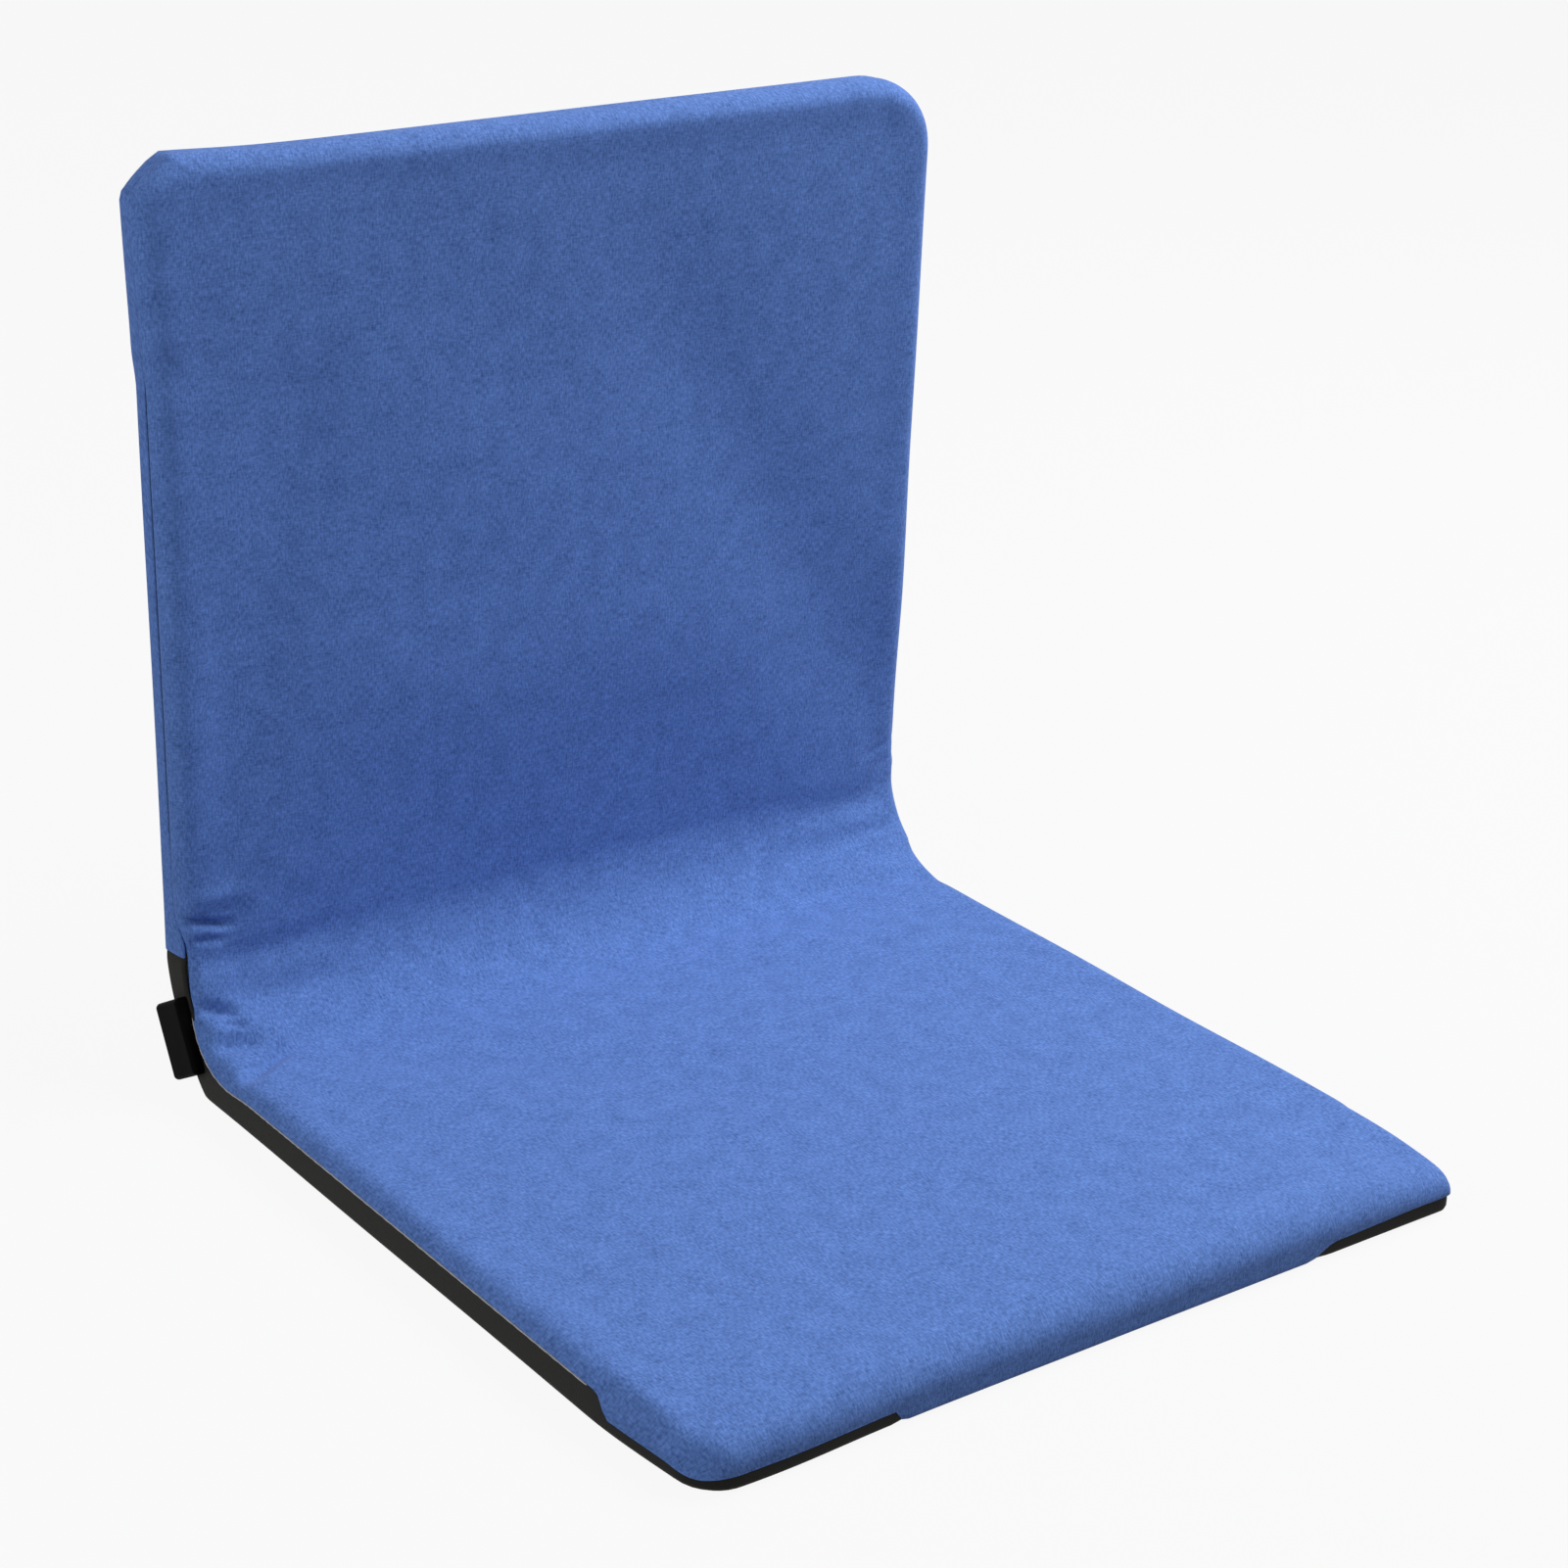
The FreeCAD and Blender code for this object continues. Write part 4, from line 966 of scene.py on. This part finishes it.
def studio_sky(level):
    world = bpy.data.worlds.new("studio_sky")
    bpy.context.scene.world = world
    world.use_nodes = True
    signal = Signal(world.node_tree)
    ambient = signal.add("ShaderNodeBackground", None, {"Color": (1, 1, 1, 1), "Strength": level})
    white = signal.add("ShaderNodeBackground", None, {"Color": (1, 1, 1, 1), "Strength": 1.0})
    mixed = signal.add("ShaderNodeMixShader", None, {0: seen(signal), 1: ambient, 2: white})
    signal.tree.links.new(mixed.socket, world.node_tree.nodes["World Output"].inputs["Surface"])


def softbox(name, place, aim, size, power):
    light = bpy.data.lights.new(name, "AREA")
    light.shape = "SQUARE"
    light.size = size
    light.energy = power
    lamp = bpy.data.objects.new(name, light)
    lamp.location = place
    lamp.rotation_euler = (Vector(aim) - Vector(place)).to_track_quat("-Z", "Y").to_euler()
    bpy.context.scene.collection.objects.link(lamp)


def photo_camera():
    """The camera of the photograph: what it aims at, from which side and height, its roll and its lens."""
    photo_side = 1601
    focal_pixels = 3567
    sensor = 36
    aim = Vector((0.1136, 0.1636, 0.0986))
    distance = 1.802
    azimuth, elevation, roll = (math.radians(angle) for angle in (-37.05, 22.59, 1.93))
    level = math.cos(elevation)
    back = Vector((math.sin(azimuth) * level, -math.cos(azimuth) * level, math.sin(elevation)))
    right = Vector((math.cos(azimuth), math.sin(azimuth), 0))
    up = back.cross(right)
    rolled_right = right * math.cos(roll) + up * math.sin(roll)
    rolled_up = up * math.cos(roll) - right * math.sin(roll)
    data = bpy.data.cameras.new("photo_camera")
    data.sensor_width = sensor
    data.lens = focal_pixels / photo_side * sensor
    camera = bpy.data.objects.new("photo_camera", data)
    turned = Matrix((rolled_right, rolled_up, back)).transposed().to_4x4()
    camera.matrix_world = Matrix.Translation(aim + back * distance) @ turned
    bpy.context.scene.collection.objects.link(camera)
    bpy.context.scene.camera = camera


studio_floor()
studio_sky(0.16)
softbox("overhead_softbox", (1.35, -0.3, 1.75), (0, 0, 0.1), 1.3, 57)
softbox("side_softbox", (-2.0, -0.15, 1.0), (0, 0.1, 0.15), 1.2, 18)
photo_camera()
bpy.context.scene.view_settings.view_transform = "Standard"
